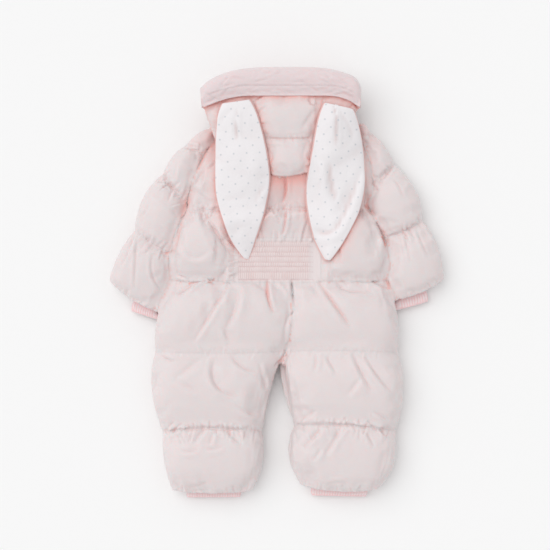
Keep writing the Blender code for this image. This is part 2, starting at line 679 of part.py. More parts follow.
def build_elastic():
    """The gathered waist: channels between lines of stitching, gathered in a zigzag."""
    columns, rows = 2 * ELASTIC_GATHERS, 2 * ELASTIC_CHANNELS
    base = SIDE_SEAM_Z + SEAM_GAP + PANEL_LEAST + ELASTIC_BED + SEAM_GAP

    def point(i, j):
        x = ELASTIC_X[0] + (ELASTIC_X[1] - ELASTIC_X[0]) * i / columns
        y = ELASTIC_Y[1] + (ELASTIC_Y[0] - ELASTIC_Y[1]) * j / rows
        side = 1 if (i + j // 2) % 2 else -1
        if j % 2:
            height = ELASTIC_LOW + (ELASTIC_HIGH - ELASTIC_LOW) * (0.6 + 0.4 * side)
        else:
            height = ELASTIC_LOW + 0.5 * side
        if i in (0, columns):
            height = ELASTIC_LOW
        return x, y, base + height

    def make(bm):
        grid_rows = [[bm.verts.new(point(i, j)) for i in range(columns + 1)] for j in range(rows + 1)]
        grid_faces(bm, grid_rows)
        close_to_plane(bm, grid_rows, base)

    return add_object("waist_elastic", make, SHELL_PINK)


def build_hood_panels():
    for name, rows in (
        ("hood_crown", CROWN), ("hood_side_left", HOOD_SIDE_LEFT), ("hood_side_right", HOOD_SIDE_RIGHT),
    ):
        top = rows[0]
        slope = (top.right_y - top.left_y) / (top.right_x - top.left_x)

        def to_brim(x, top=top, slope=slope):
            return brim_seam_y(x) - EDGE_GAP - top.left_y - slope * (x - top.left_x)

        inset = 0 if rows is CROWN else EDGE_GAP
        left_in = inset if top.left_sewn else 0
        right_in = -inset if top.right_sewn else 0
        left, right = shifted(left_edge(rows), left_in, 0), shifted(right_edge(rows), right_in, 0)
        puffed_panel(name, rows, left, right, HOOD_BASE_Z, HOOD_FOLDS, 6, BODY_GRID, row_shift=to_brim)


def build_brim():
    """The turned-back brim: a rolled outer edge, a stitched hem line and a raised inner edge."""
    top = smooth_edge([(b.top_x, b.top_y) for b in BRIM])
    bottom = smooth_edge([(b.bottom_x, 0) for b in BRIM])
    steps = 3
    shares = [0.0, 0.03, 0.1, 0.22, 0.42, 0.6, BRIM_STITCH, 0.76, 0.88, 0.96, 1.0]

    def point(v, w):
        end = np.array([bottom(v)[0], brim_seam_y(bottom(v)[0])])
        start = top(v)
        span = np.hypot(*(end - start))
        x, y = start + (end - start) * w
        band = w / BRIM_STITCH if w < BRIM_STITCH else (w - BRIM_STITCH) / (1 - BRIM_STITCH)
        puff = BRIM_PUFF * (0.62 + (0.38 if w < BRIM_STITCH else 0.18) * swell(band))
        height = QUILT_SEAM + puff
        height += 0.8 * math.sin(0.11 * x + 1.3) * math.sin(0.5 * (y - 300) + 0.05 * x)
        from_end = min(v, len(BRIM) - 1 - v) * 15
        height *= rim(w * span, 13) * rim(from_end + 0.3, 14)
        if w > 0.9:
            height = min(height, QUILT_SEAM + 0.7 * BRIM_PUFF * rim((1 - w) * span + 1.2, 5))
        return x, y, HOOD_BASE_Z + 0.6 + height

    def make(bm):
        places = np.linspace(0, len(BRIM) - 1, steps * (len(BRIM) - 1) + 1)
        grid_rows = [[bm.verts.new(point(v, w)) for v in places] for w in shares]
        grid_faces(bm, grid_rows)
        close_to_plane(bm, grid_rows, HOOD_BASE_Z)

    return add_object("hood_brim", make, SHELL_PINK)


def build_hood_fold():
    """The hood's hidden layers in one rounded body, with a groove between layers all round its edge."""
    left = smooth_edge([(row.left_x, row.y) for row in HOOD_FOLD])
    right = smooth_edge([(row.right_x, row.y) for row in HOOD_FOLD])
    last = len(HOOD_FOLD) - 1
    places = np.linspace(0, last, 2 * last + 1)
    rise = 9.0
    top = [
        left(0) + (right(0) - left(0)) * s + (0, rise * 4 * s * (1 - s)) for s in np.linspace(0, 1, 8)[1:-1]
    ]
    outline = np.array([*[left(v) for v in reversed(places)], *top, *[right(v) for v in places]])
    count = len(outline)
    normals = []
    for i in range(count):
        along = outline[(i + 1) % count] - outline[i - 1]
        normals.append(np.array([-along[1], along[0]]) / np.hypot(*along))
    # height of each level, and how far its outline lies inside the fullest one
    levels = [(0, 9), (2.5, 4), (7, 0.5), (12, 0.5), (15.5, 4.5), (19, 0.5), (27, 0), (31, 4.5), (35, 0.5),
              (42, 1), (46, 4), (HOOD_BASE_Z - SEAM_GAP, 9)]

    def make(bm):
        rings = []
        for z, inset in levels:
            ring = [point - normal * inset * (point[1] > 236) for point, normal in zip(outline, normals)]
            rings.append([bm.verts.new((x, y, z)) for x, y in ring])
        for lower, upper in zip(rings, rings[1:]):
            for i in range(count):
                j = (i + 1) % count
                bm.faces.new((lower[i], lower[j], upper[j], upper[i]))
        bm.faces.new(rings[0])
        bm.faces.new(rings[-1])

    return add_object("hood_fold", make, SHELL_PINK)


def resting_heights(names, plan, reach=0.0):
    """The highest surface of the named objects within reach of each point of the plan, in millimetres."""
    trees = []
    for name in names:
        mesh = bpy.data.objects[name].data
        trees.append(BVHTree.FromPolygons([v.co for v in mesh.vertices], [p.vertices for p in mesh.polygons]))
    around = [(0, 0)]
    if reach:
        around += [(reach * math.cos(a), reach * math.sin(a)) for a in np.arange(0, 2 * math.pi, math.pi / 4)]
    heights = np.zeros(plan.shape[:2])
    for place in np.ndindex(heights.shape):
        for dx, dy in around:
            above = Vector(((plan[place][0] + dx) * MM, (plan[place][1] + dy) * MM, 1))
            for tree in trees:
                hit = tree.ray_cast(above, Vector((0, 0, -1)))[0]
                if hit:
                    heights[place] = max(heights[place], hit.z / MM)
    return heights


def lowest_clearance(names, plan, z, per_face=6):
    """The least height above the named objects of the surface (plan, z), split as grid_faces splits it."""
    grid = np.concatenate([plan, z[:, :, None]], axis=2)
    here, beside, below, across = grid[:-1, :-1], grid[:-1, 1:], grid[1:, :-1], grid[1:, 1:]
    least = math.inf
    for u, v in np.ndindex(per_face + 1, per_face + 1):
        u, v = u / per_face, v / per_face
        if u >= v:
            samples = here + (beside - here) * u + (across - beside) * v
        else:
            samples = here + (below - here) * v + (across - below) * u
        least = min(least, float((samples[:, :, 2] - resting_heights(names, samples[:, :, :2])).min()))
    return least


def build_ears():
    """Two long ears, each a pink shell below and a white face above, lying on what is beneath."""
    under = ("back_bodice", "waist_elastic", "hood_crown", "hood_side_left", "hood_side_right")
    across = np.array([0, 0.05, 0.26, 0.5, 0.74, 0.95, 1.0])
    for side, rows in (("left", EAR_LEFT), ("right", EAR_RIGHT)):
        left = smooth_edge([(row.left_x, row.left_y) for row in rows])
        right = smooth_edge([(row.right_x, row.right_y) for row in rows])
        places = np.linspace(0, len(rows) - 1, 2 * len(rows) - 1)
        plan = np.array([[left(v) + (right(v) - left(v)) * u for u in across] for v in places])
        rest = resting_heights(under, plan, 8.0)
        smooth = rest.copy()
        for _ in range(6):
            smooth[1:-1] = (smooth[:-2] + 2 * smooth[1:-1] + smooth[2:]) / 4
            smooth[:, 1:-1] = (smooth[:, :-2] + 2 * smooth[:, 1:-1] + smooth[:, 2:]) / 4
            smooth = np.maximum(smooth, rest)
        floor = smooth - lowest_clearance(under, plan, smooth) + SEAM_GAP + 0.1
        face_floor = floor + EAR_LAYER + SEAM_GAP
        dome = 1.5 * np.sin(np.pi * across)[None, :]
        build_ear_layer(f"ear_{side}_shell", plan, floor, floor + EAR_LAYER, SHELL_PINK)
        build_ear_layer(f"ear_{side}_face", plan, face_floor, face_floor + EAR_LAYER + dome, COTTON)


def build_ear_layer(name, plan, low, high, finish):
    """One layer of an ear: the same grid below and above, joined round its edge."""
    def make(bm):
        upper, lower = [
            [[bm.verts.new((x, y, z)) for (x, y), z in zip(*row)] for row in zip(plan, heights)]
            for heights in (high, low)
        ]
        grid_faces(bm, upper, split=True)
        grid_faces(bm, lower, split=True)
        over, under = boundary_loop(upper), boundary_loop(lower)
        for i in range(len(over)):
            j = (i + 1) % len(over)
            bm.faces.new((over[i], over[j], under[j], under[i]))

    return add_object(name, make, finish)


def main():
    for old in list(bpy.data.objects):
        bpy.data.objects.remove(old)
    build_body()
    build_front()
    build_zip()
    build_sleeves()
    build_cuffs()
    build_elastic()
    build_hood_fold()
    build_hood_panels()
    build_brim()
    build_ears()


main()
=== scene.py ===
# %% [markdown]
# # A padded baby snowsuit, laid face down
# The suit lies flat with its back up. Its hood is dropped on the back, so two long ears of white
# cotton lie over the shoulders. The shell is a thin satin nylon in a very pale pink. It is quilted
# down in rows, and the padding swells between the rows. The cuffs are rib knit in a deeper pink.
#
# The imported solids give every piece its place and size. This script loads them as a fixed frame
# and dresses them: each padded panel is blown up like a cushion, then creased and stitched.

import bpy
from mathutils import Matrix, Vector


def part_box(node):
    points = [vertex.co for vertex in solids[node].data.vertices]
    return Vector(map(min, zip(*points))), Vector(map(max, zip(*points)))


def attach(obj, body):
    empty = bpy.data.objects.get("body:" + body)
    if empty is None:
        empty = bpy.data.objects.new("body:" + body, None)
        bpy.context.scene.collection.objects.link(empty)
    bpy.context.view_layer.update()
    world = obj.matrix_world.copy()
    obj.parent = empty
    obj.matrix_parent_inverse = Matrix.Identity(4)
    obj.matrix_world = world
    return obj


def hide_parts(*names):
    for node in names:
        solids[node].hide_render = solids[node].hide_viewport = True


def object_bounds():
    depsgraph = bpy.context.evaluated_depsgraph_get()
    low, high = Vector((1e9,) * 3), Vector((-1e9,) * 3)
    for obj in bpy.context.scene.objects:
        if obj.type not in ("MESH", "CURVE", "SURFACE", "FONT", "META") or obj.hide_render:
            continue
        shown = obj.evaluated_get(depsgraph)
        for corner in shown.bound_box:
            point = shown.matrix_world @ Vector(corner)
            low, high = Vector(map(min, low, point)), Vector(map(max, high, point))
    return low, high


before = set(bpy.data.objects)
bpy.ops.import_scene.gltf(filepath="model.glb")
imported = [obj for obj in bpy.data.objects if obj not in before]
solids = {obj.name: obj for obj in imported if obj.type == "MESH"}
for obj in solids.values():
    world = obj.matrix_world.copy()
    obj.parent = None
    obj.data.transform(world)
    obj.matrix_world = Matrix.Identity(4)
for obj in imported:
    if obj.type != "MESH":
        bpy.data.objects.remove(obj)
cad_box = [list(corner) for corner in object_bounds()]

import math
from collections import namedtuple

import bpy
import numpy as np
from mathutils import Vector
from mathutils.bvhtree import BVHTree
from mathutils.kdtree import KDTree

MM = 0.001
scene = bpy.context.scene
print("frame nodes:", len(solids))

# %% [markdown]
# ## Where the camera stands
# A garment laid on a table is best seen from straight above. The camera hangs three metres up,
# because a long lens keeps the sleeves and the hood from bulging towards it. The lens is worked out
# from the width that the picture has to take in.

# %% Camera
PICTURE_WIDE = 0.825  # metres across the picture, at the height of the cloth
PICTURE_MIDDLE = (-0.00225, 0.0129)
CLOTH_HEIGHT = 0.020
CAMERA_ABOVE = 3.0
SENSOR_WIDE = 36
bpy.ops.object.camera_add(location=(*PICTURE_MIDDLE, CLOTH_HEIGHT + CAMERA_ABOVE), rotation=(0, 0, 0))
camera = bpy.context.object
camera.name = "camera"
camera.data.sensor_width = SENSOR_WIDE
camera.data.lens = SENSOR_WIDE * CAMERA_ABOVE / PICTURE_WIDE
scene.camera = camera
print("lens:", round(camera.data.lens, 1), "mm")

# %% [markdown]
# ## Light and floor
# Pale cloth needs soft light that comes from nearly everywhere, or its folds turn grey. The sky
# gives most of it. A wide sun from above gives the puffs their roundness. It leans to the left and the
# top, so those sides are a little lighter.

# %% Studio
SKY_STRENGTH = 0.72
SUN_STRENGTH = 1.05
SUN_WIDE = math.radians(60)
SUN_FROM = (-0.55, 0.40, 1.0)
FLOOR_WIDE = 8.0
FLOOR_DROP = 0.4 * MM  # so that the cloth and the floor don't share one plane

scene.view_settings.view_transform = "Standard"
world = bpy.data.worlds.new("studio sky")
scene.world = world
world.use_nodes = True
sky = world.node_tree.nodes["Background"]
sky.inputs["Color"].default_value = (1.0, 1.0, 1.0, 1)
sky.inputs["Strength"].default_value = SKY_STRENGTH
bpy.ops.object.light_add(type="SUN", location=(0, 0, 2))
sun = bpy.context.object
sun.name = "wide_sun"
sun.data.energy = SUN_STRENGTH
sun.data.angle = SUN_WIDE
sun.rotation_mode = "QUATERNION"
sun.rotation_quaternion = Vector(SUN_FROM).to_track_quat("Z", "Y")


def plain_material(name, colour, roughness):
    """A Principled material with a plain start, to which nodes are added."""
    made = bpy.data.materials.new(name)
    made.use_nodes = True
    shader = made.node_tree.nodes["Principled BSDF"]
    shader.inputs["Base Color"].default_value = (*colour, 1)
    shader.inputs["Roughness"].default_value = roughness
    return made


bpy.ops.mesh.primitive_plane_add(size=FLOOR_WIDE, location=(0, 0, -FLOOR_DROP))
floor = bpy.context.object
floor.name = "floor"
floor.data.materials.append(plain_material("pale floor", (0.94, 0.94, 0.94), 0.9))
print("sky", SKY_STRENGTH, "and sun", SUN_STRENGTH)

# %% [markdown]
# ## Cloth finishes
# The shell is a satin nylon: smooth, a little shiny, with a weave too fine to see from a step away.
# Light that bounces about inside a fold takes on the colour of the cloth, so the bottoms of the folds
# turn salmon. That warm shade is painted into the colour: each mesh carries an attribute called fold, which
# is 0 on the open cloth and 1 deep in a fold, and the material mixes its open colour with a painted shade
# colour by it.

# %% Node helpers
MIX_FACTOR, MIX_FIRST, MIX_SECOND, MIX_RESULT = 0, 6, 7, 2  # the sockets of a Mix node set to colours


def new_node(tree, kind, operation=None, group=None, **values):
    """A node with its operation or its group, and some of its inputs, set."""
    node = tree.nodes.new(kind)
    if operation:
        node.operation = operation
    if group:
        node.node_tree = group
    for name, value in values.items():
        node.inputs[name.replace("_", " ")].default_value = value
    return node


def link(tree, source, target):
    tree.links.new(source, target)


def group_tree(name, inputs, outputs):
    """A shader node group with named sockets."""
    tree = bpy.data.node_groups.new(name, "ShaderNodeTree")
    for label, kind, value in inputs:
        socket = tree.interface.new_socket(label, in_out="INPUT", socket_type=kind)
        socket.default_value = value
    for label, kind in outputs:
        tree.interface.new_socket(label, in_out="OUTPUT", socket_type=kind)
    return tree, tree.nodes.new("NodeGroupInput"), tree.nodes.new("NodeGroupOutput")


# %% [markdown]
# The painted fold shade is a node group, so that every cloth on the suit is painted salmon in its folds in
# the same way. It reads the attribute from the mesh and mixes the open colour with the painted shade colour
# that the material hands to it.

# %% Painted fold shade group
def make_painted_fold_shade():
    """Paints shade: mixes the open cloth's colour into the painted fold-shade colour by the mesh's fold
    attribute.
    """
    white = (1, 1, 1, 1)
    tree, start, end = group_tree(
        "fold tint",
        [("Open Color", "NodeSocketColor", white), ("Fold Color", "NodeSocketColor", white)],
        [("Color", "NodeSocketColor")],
    )
    depth = tree.nodes.new("ShaderNodeAttribute")
    depth.attribute_name = "fold"
    mix = tree.nodes.new("ShaderNodeMix")
    mix.data_type = "RGBA"
    link(tree, depth.outputs["Fac"], mix.inputs[MIX_FACTOR])
    link(tree, start.outputs["Open Color"], mix.inputs[MIX_FIRST])
    link(tree, start.outputs["Fold Color"], mix.inputs[MIX_SECOND])
    link(tree, mix.outputs[MIX_RESULT], end.inputs["Color"])
    return tree


PAINTED_FOLD_SHADE = make_painted_fold_shade()
print("group:", PAINTED_FOLD_SHADE.name)

# %% [markdown]
# Thin cloth over padding is never smooth. It has soft dents the size of a thumb, finer wrinkles, and
# a weave that is only a breath of texture. All of it is height for a bump, on Object coordinates, so
# it runs through a piece without a seam. Each cloth says how much of each it has.

# %% Weave and crumple group
DENT_SCALE, WRINKLE_SCALE, WEAVE_SCALE = 34.0, 120.0, 700.0


def make_crumple():
    """Height of thin cloth over padding: soft dents, finer wrinkles and a plain weave."""
    tree, start, end = group_tree(
        "crumple",
        [(size, "NodeSocketFloat", 0.5) for size in ("Dents", "Wrinkles", "Weave")],
        [("Height", "NodeSocketFloat")],
    )
    place = tree.nodes.new("ShaderNodeTexCoord")
    dents = new_node(tree, "ShaderNodeTexNoise", Scale=DENT_SCALE, Detail=1.5, Distortion=0.6)
    wrinkles = new_node(tree, "ShaderNodeTexNoise", Scale=WRINKLE_SCALE, Detail=3.0, Distortion=1.2)
    across = new_node(tree, "ShaderNodeTexWave", Scale=WEAVE_SCALE)
    along = new_node(tree, "ShaderNodeTexWave", Scale=WEAVE_SCALE)
    along.bands_direction = "Y"
    total = None
    for node, size in ((dents, "Dents"), (wrinkles, "Wrinkles"), (across, "Weave"), (along, "Weave")):
        link(tree, place.outputs["Object"], node.inputs["Vector"])
        part = new_node(tree, "ShaderNodeMath", "MULTIPLY")
        link(tree, node.outputs["Fac"], part.inputs[0])
        link(tree, start.outputs[size], part.inputs[1])
        if total is None:
            total = part.outputs[0]
        else:
            both = new_node(tree, "ShaderNodeMath", "ADD")
            link(tree, total, both.inputs[0])
            link(tree, part.outputs[0], both.inputs[1])
            total = both.outputs[0]
    link(tree, total, end.inputs["Height"])
    return tree


CRUMPLE = make_crumple()
print("group:", CRUMPLE.name)

# %% [markdown]
# Each cloth is one row: its colour where it lies open, and the painted shade colour for deep in a fold, how
# rough and how fuzzy it is, how much it dents, wrinkles and shows its weave, and how high the bump stands.
# Glow is light that enters the cloth and its padding and comes out again nearby. A single layer has none,
# because nothing lies behind it to send the light back.

# %% Cloth material
# The fold colour of each cloth is painted shade: the salmon, or grey-pink on cotton, that bounced light
# gives its folds.
Cloth = namedtuple("Cloth", "name open fold roughness sheen dents wrinkles weave bump glow")
SHELL = Cloth("satin nylon shell", (0.775, 0.70, 0.70), (0.83, 0.475, 0.44),
              0.5, 0.15, 0.8, 0.15, 0.006, 1.2 * MM, 0.3)
THIN_SHELL = SHELL._replace(name="satin nylon, single layer", glow=0.0)
BRIM_SHELL = Cloth("satin nylon brim", (0.78, 0.665, 0.675), (0.88, 0.48, 0.45),
                   0.5, 0.15, 0.6, 0.5, 0.006, 1.2 * MM, 0.2)
COTTON = Cloth("white cotton", (0.87, 0.84, 0.855), (0.80, 0.70, 0.70),
               0.85, 0.2, 0.7, 0.6, 0.01, 1.0 * MM, 0.0)
ELASTIC_THREAD = Cloth("pink elastic thread", (0.74, 0.56, 0.58), (0.7, 0.45, 0.47),
                       0.6, 0.1, 0.1, 0.1, 0.0, 0.2 * MM, 0.1)
RIB = Cloth("pink rib knit", (0.94, 0.79, 0.80), (0.90, 0.64, 0.65),
            0.9, 0.4, 0.2, 0.3, 0.01, 0.8 * MM, 0.2)
TAPE = Cloth("pink zip tape", (0.76, 0.62, 0.64), (0.7, 0.45, 0.47),
             0.7, 0.2, 0.1, 0.2, 0.02, 0.5 * MM, 0.0)
TEETH = Cloth("pink zip teeth", (0.80, 0.62, 0.65), (0.7, 0.45, 0.47),
              0.35, 0.0, 0.05, 0.05, 0.0, 0.2 * MM, 0.0)
CLOTHS = (SHELL, THIN_SHELL, BRIM_SHELL, ELASTIC_THREAD, COTTON, RIB, TAPE, TEETH)
SHEEN_ROUGHNESS = 0.5
GLOSS = 0.35
GLOW_COLOUR = (1.0, 0.45, 0.4)  # how far red, green and blue light travel, as shares of the depth
GLOW_DEEP = 6 * MM


def cloth_material(cloth):
    """The material of one cloth: painted salmon shade in the folds, and dents, wrinkles and weave as bump.
    """
    made = plain_material(cloth.name, cloth.open, cloth.roughness)
    tree = made.node_tree
    shader = tree.nodes["Principled BSDF"]
    shader.inputs["Sheen Weight"].default_value = cloth.sheen
    shader.inputs["Sheen Roughness"].default_value = SHEEN_ROUGHNESS
    shader.inputs["Specular IOR Level"].default_value = GLOSS
    shader.inputs["Subsurface Weight"].default_value = cloth.glow
    shader.inputs["Subsurface Radius"].default_value = GLOW_COLOUR
    shader.inputs["Subsurface Scale"].default_value = GLOW_DEEP
    tint = new_node(tree, "ShaderNodeGroup", group=PAINTED_FOLD_SHADE,
                    Open_Color=(*cloth.open, 1), Fold_Color=(*cloth.fold, 1))
    link(tree, tint.outputs["Color"], shader.inputs["Base Color"])
    crumple = new_node(tree, "ShaderNodeGroup", group=CRUMPLE,
                       Dents=cloth.dents, Wrinkles=cloth.wrinkles, Weave=cloth.weave)
    bump = new_node(tree, "ShaderNodeBump", Strength=1.0, Distance=cloth.bump)
    link(tree, crumple.outputs["Height"], bump.inputs["Height"])
    link(tree, bump.outputs["Normal"], shader.inputs["Normal"])
    return made


FINISH = {cloth.name: cloth_material(cloth) for cloth in CLOTHS}
print("finishes:", ", ".join(FINISH))

# %% [markdown]
# ## Padded panels
# A quilted panel is two layers of cloth sewn together in rows, with padding blown in between. So it
# is made as it is sewn: a copy of the solid is remeshed into small even faces, the rows of stitching
# and the edges are pinned, and a cloth simulation blows up what lies between them. The cloth also
# grows a little while it swells, which makes it buckle into puckers along the seams.
#
# Each row below gives a panel's face size and how thick it is where it is sewn, both in millimetres,
# the share by which its cloth grows, and how far it may rise and spread, in millimetres again.

# %% Panels to blow up
Panel = namedtuple("Panel", "node voxel sewn_height growth rise spread")
SIDE_SEAM_Z = 18.3 * MM
HOOD_BASE_Z = 48.4 * MM
PANELS = [
    Panel("back_bodice", 3.2, 9.5, 0.06, 7.0, 2.5),
    Panel("back_leg_left", 3.2, 8.8, 0.06, 7.0, 2.5),
    Panel("back_leg_right", 3.2, 8.8, 0.06, 7.0, 2.5),
    Panel("sleeve_left_back", 2.9, 8.8, 0.04, 6.0, 2.5),
    Panel("sleeve_right_back", 2.9, 8.8, 0.04, 6.0, 2.5),
    Panel("hood_crown", 2.8, 8.8, 0.04, 4.0, 1.5),
    Panel("hood_side_left", 2.8, 8.8, 0.04, 3.0, 1.5),
    Panel("hood_side_right", 2.8, 8.8, 0.04, 3.0, 1.5),
]
SEWN_TOGETHER = ("back_bodice", "back_leg_left", "back_leg_right", "sleeve_left_back", "sleeve_right_back")
HOOD_PANELS = ("hood_crown", "hood_side_left", "hood_side_right")
print(len(PANELS), "panels to blow up")

# %% [markdown]
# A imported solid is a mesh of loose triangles. A copy of it is merged into one skin before anything is
# done to it. The helpers below read and write all the points of a mesh at once, and add and apply a
# modifier in one step, as one would do in the modifiers' tab.

# %% Mesh helpers
MERGE_WITHIN = 0.02 * MM


def deselect_all():
    bpy.ops.object.select_all(action="DESELECT")


def make_active(piece):
    deselect_all()
    piece.select_set(True)
    bpy.context.view_layer.objects.active = piece


def values_of(items, field, width=1):
    """One field of all the items of a mesh, as an array with a row for each item."""
    values = np.empty(len(items) * width, int if field == "vertices" else float)
    items.foreach_get(field, values)
    return values.reshape(-1, width) if width > 1 else values


def points_of(piece):
    """The piece's points as an array, in metres."""
    return values_of(piece.data.vertices, "co", 3)


def normals_of(piece):
    return values_of(piece.data.vertices, "normal", 3)


def put_points(piece, points):
    piece.data.vertices.foreach_set("co", points.ravel())
    piece.data.update()


def store(piece, name, values, kind="FLOAT", field="value"):
    """Keeps a value for each point as an attribute of the mesh."""
    layer = piece.data.attributes.new(name, kind, "POINT")
    layer.data.foreach_set(field, values)


def weigh(piece, name, weights, least=0.0):
    """A vertex group of the points whose weight is more than the least."""
    group = piece.vertex_groups.new(name=name)
    for index in np.flatnonzero(weights > least):
        group.add([int(index)], float(weights[index]), "REPLACE")


def apply(piece, kind, **settings):
    """Adds a modifier with these settings, and applies it."""
    make_active(piece)
    modifier = piece.modifiers.new(kind, kind)
    for name, value in settings.items():
        setattr(modifier, name, value)
    bpy.ops.object.modifier_apply(modifier=modifier.name)


def smooth_out(piece, rounds, **settings):
    apply(piece, "SMOOTH", factor=0.5, iterations=rounds, **settings)


def subdivide(piece, levels=1):
    apply(piece, "SUBSURF", levels=levels, render_levels=levels)


def solid_copy(node, name, quads=False):
    """A merged copy of a CAD node's mesh, as a new object of its own."""
    mesh = solids[node].data.copy()
    mesh.name = name
    mesh.materials.clear()
    piece = bpy.data.objects.new(name, mesh)
    scene.collection.objects.link(piece)
    make_active(piece)
    bpy.ops.object.mode_set(mode="EDIT")
    bpy.ops.mesh.select_all(action="SELECT")
    bpy.ops.mesh.remove_doubles(threshold=MERGE_WITHIN)
    bpy.ops.mesh.normals_make_consistent(inside=False)
    if quads:
        bpy.ops.mesh.select_all(action="SELECT")
        bpy.ops.mesh.tris_convert_to_quads()
    bpy.ops.object.mode_set(mode="OBJECT")
    return piece


def remeshed(piece, voxel_mm, smoothing):
    """Even small faces all over, with the solid's facets smoothed away."""
    make_active(piece)
    piece.data.remesh_voxel_size = voxel_mm * MM
    bpy.ops.object.voxel_remesh()
    smooth_out(piece, smoothing)
    return piece


# %% [markdown]
# The needle is what holds the padding down. So everything that lies low is pinned: the underside, the
# edges, and the rows of stitching, which are the only low places on top. The rest is free to swell.

# %% Remesh the panels and pin their seams
FACET_ROUNDS = 4
PIN_FADE = 3.0  # millimetres over which the pins let go
PRESSURE = 4.0
CLOTH_FRAMES = 20


def pin_seams(piece, base_z, sewn_height):
    """Pins what lies low: the underside, the edges and the rows of stitching."""
    heights = (points_of(piece)[:, 2] - base_z) / MM
    weigh(piece, "sewn", np.clip((sewn_height + PIN_FADE - heights) / PIN_FADE, 0, 1))


def add_padding(piece, growth):
    """Cloth that air pushes out from inside, and that grows a little."""
    cloth = piece.modifiers.new("padding", "CLOTH")
    settings = cloth.settings
    settings.quality = 4
    settings.mass = 0.2
    settings.tension_stiffness = settings.compression_stiffness = 12
    settings.bending_stiffness = 0.4
    settings.use_pressure = True
    settings.uniform_pressure_force = PRESSURE
    settings.shrink_min = -growth
    settings.vertex_group_mass = "sewn"
    settings.effector_weights.gravity = 0
    cloth.collision_settings.use_collision = False
    cloth.collision_settings.use_self_collision = False
    cloth.point_cache.frame_start, cloth.point_cache.frame_end = 1, CLOTH_FRAMES


panels = {}
for panel in PANELS:
    piece = remeshed(solid_copy(panel.node, panel.node + "_quilted"), panel.voxel, FACET_ROUNDS)
    base = HOOD_BASE_Z if panel.node in HOOD_PANELS else SIDE_SEAM_Z
    pin_seams(piece, base, panel.sewn_height)
    add_padding(piece, panel.growth)
    panels[panel.node] = piece
    print(panel.node, len(piece.data.vertices), "points")

# %% [markdown]
# All the panels swell in one run of twenty frames. Air alone would blow them up like balloons, but
# padding gives only so much, so each point's move is capped softly before it is kept. The simulation
# itself is then thrown away, and what is left is a plain mesh.

# %% Blow them up together
for frame_number in range(1, CLOTH_FRAMES + 1):
    scene.frame_set(frame_number)


def settle(piece, rise_mm, spread_mm):
    """Keeps the simulated shape, but no point moves further than the padding would let it."""
    start = points_of(piece)
    blown = piece.evaluated_get(bpy.context.evaluated_depsgraph_get()).data
    move = values_of(blown.vertices, "co", 3) - start
    for axes, limit in (((2,), rise_mm * MM), ((0, 1), spread_mm * MM)):
        size = np.linalg.norm(move[:, axes], axis=1)
        move[:, axes] *= (limit * np.tanh(size / limit) / np.maximum(size, 1e-9))[:, None]
    piece.modifiers.clear()
    put_points(piece, start + move)
    return float(np.abs(move[:, 2]).max() / MM)


for panel in PANELS:
    print(panel.node, "rose by", round(settle(panels[panel.node], panel.rise, panel.spread), 1), "mm")
scene.frame_set(1)

# %% [markdown]
# ## Smooth puffs
# The simulation leaves many small buckles, each a few faces wide. Thin padding bridges such buckles,
# so they are smoothed away here, and what stays is the round of each puff with its larger dents.

# %% Smooth the puffs
PUFF_ROUNDS = 5
LEAST_WEIGHT = 0.02


def smooth_where(piece, weights, rounds):
    """Smooths a piece as far as the weights say."""
    weigh(piece, "soft here", weights, LEAST_WEIGHT)
    smooth_out(piece, rounds, vertex_group="soft here")
    piece.vertex_groups.remove(piece.vertex_groups["soft here"])


for piece in panels.values():
    smooth_out(piece, PUFF_ROUNDS)
print("smoothed", len(panels), "panels")

# %% [markdown]
# ## Rows of stitching
# A puffer is sewn across in rows. Each row is given by its two ends and by how far its middle dips
# towards the hem, with how far the puff above sags over it, how long its puckers are on each side and
# how strong they are, and how much of its valley the padding fills. All of it is in millimetres.

# %% Seams
Seam = namedtuple("Seam", "name panels x0 y0 x1 y1 bow overhang above below pucker fill")
LEGS = ("back_leg_left", "back_leg_right")
SEAMS = [
    Seam("yoke", ("back_bodice",), -133, 109, 135, 107, -3, 2.0, 12, 20, 1.0, 4),
    Seam("waist", ("back_bodice",) + LEGS, -158, 5, 166, 5, 0, 0.0, 9, 14, 0.45, 0),
    Seam("seat left", LEGS[:1], -182, -101, 12, -101, 2, 0.0, 12, 15, 0.35, 9),
    Seam("seat right", LEGS[1:], 12, -101, 182, -103, -3, 0.0, 12, 16, 0.4, 9),
    Seam("knee left", LEGS[:1], -171, -222, -21, -222, -8, 3.4, 11, 24, 1.0, 5),
    Seam("knee right", LEGS[1:], 26, -212, 179, -221, -7, 3.4, 13, 24, 1.0, 5.5),
    Seam("hem left", LEGS[:1], -157, -309, -35, -310, 4, 0.0, 13, 4, 0.9, 0),
    Seam("hem right", LEGS[1:], 36, -302, 152, -308, 6, 0.0, 13, 4, 0.9, 0),
    Seam("left shoulder", ("sleeve_left_back",), -139, 206, -107, 193, 1, 1.2, 13, 16, 0.9, 2),
    Seam("left upper arm", ("sleeve_left_back",), -170, 165, -133, 121, 3, 2.0, 15, 22, 1.0, 0),
    Seam("left elbow", ("sleeve_left_back",), -213, 81, -157, 46, 3, 2.6, 16, 26, 1.0, 1),
    Seam("left wrist", ("sleeve_left_back",), -252, 5, -178, -43, 5.5, 0.0, 13, 4, 0.9, 0),
    Seam("right shoulder", ("sleeve_right_back",), 132, 200, 139.5, 229, 1, 0.8, 10, 12, 0.9, 2),
    Seam("right upper arm", ("sleeve_right_back",), 142, 151, 177, 180, 2, 1.8, 12, 16, 1.0, 0),
    Seam("right elbow", ("sleeve_right_back",), 160, 68, 219, 95, 3, 2.6, 14, 22, 1.0, 0),
    Seam("right wrist", ("sleeve_right_back",), 178, -25, 252, 6, 5, 0.0, 13, 4, 0.9, 0),
    Seam("crown quilting", ("hood_crown",), -19, 216, 56, 216, 2, 1.0, 7, 8, 0.5, 5),
    Seam("hood left quilting", ("hood_side_left",), -97, 228, -20, 216, 0, 0.8, 7, 8, 0.5, 5),
    Seam("hood right quilting", ("hood_side_right",), 57, 216, 116, 231, 0, 0.8, 7, 8, 0.5, 5),
]


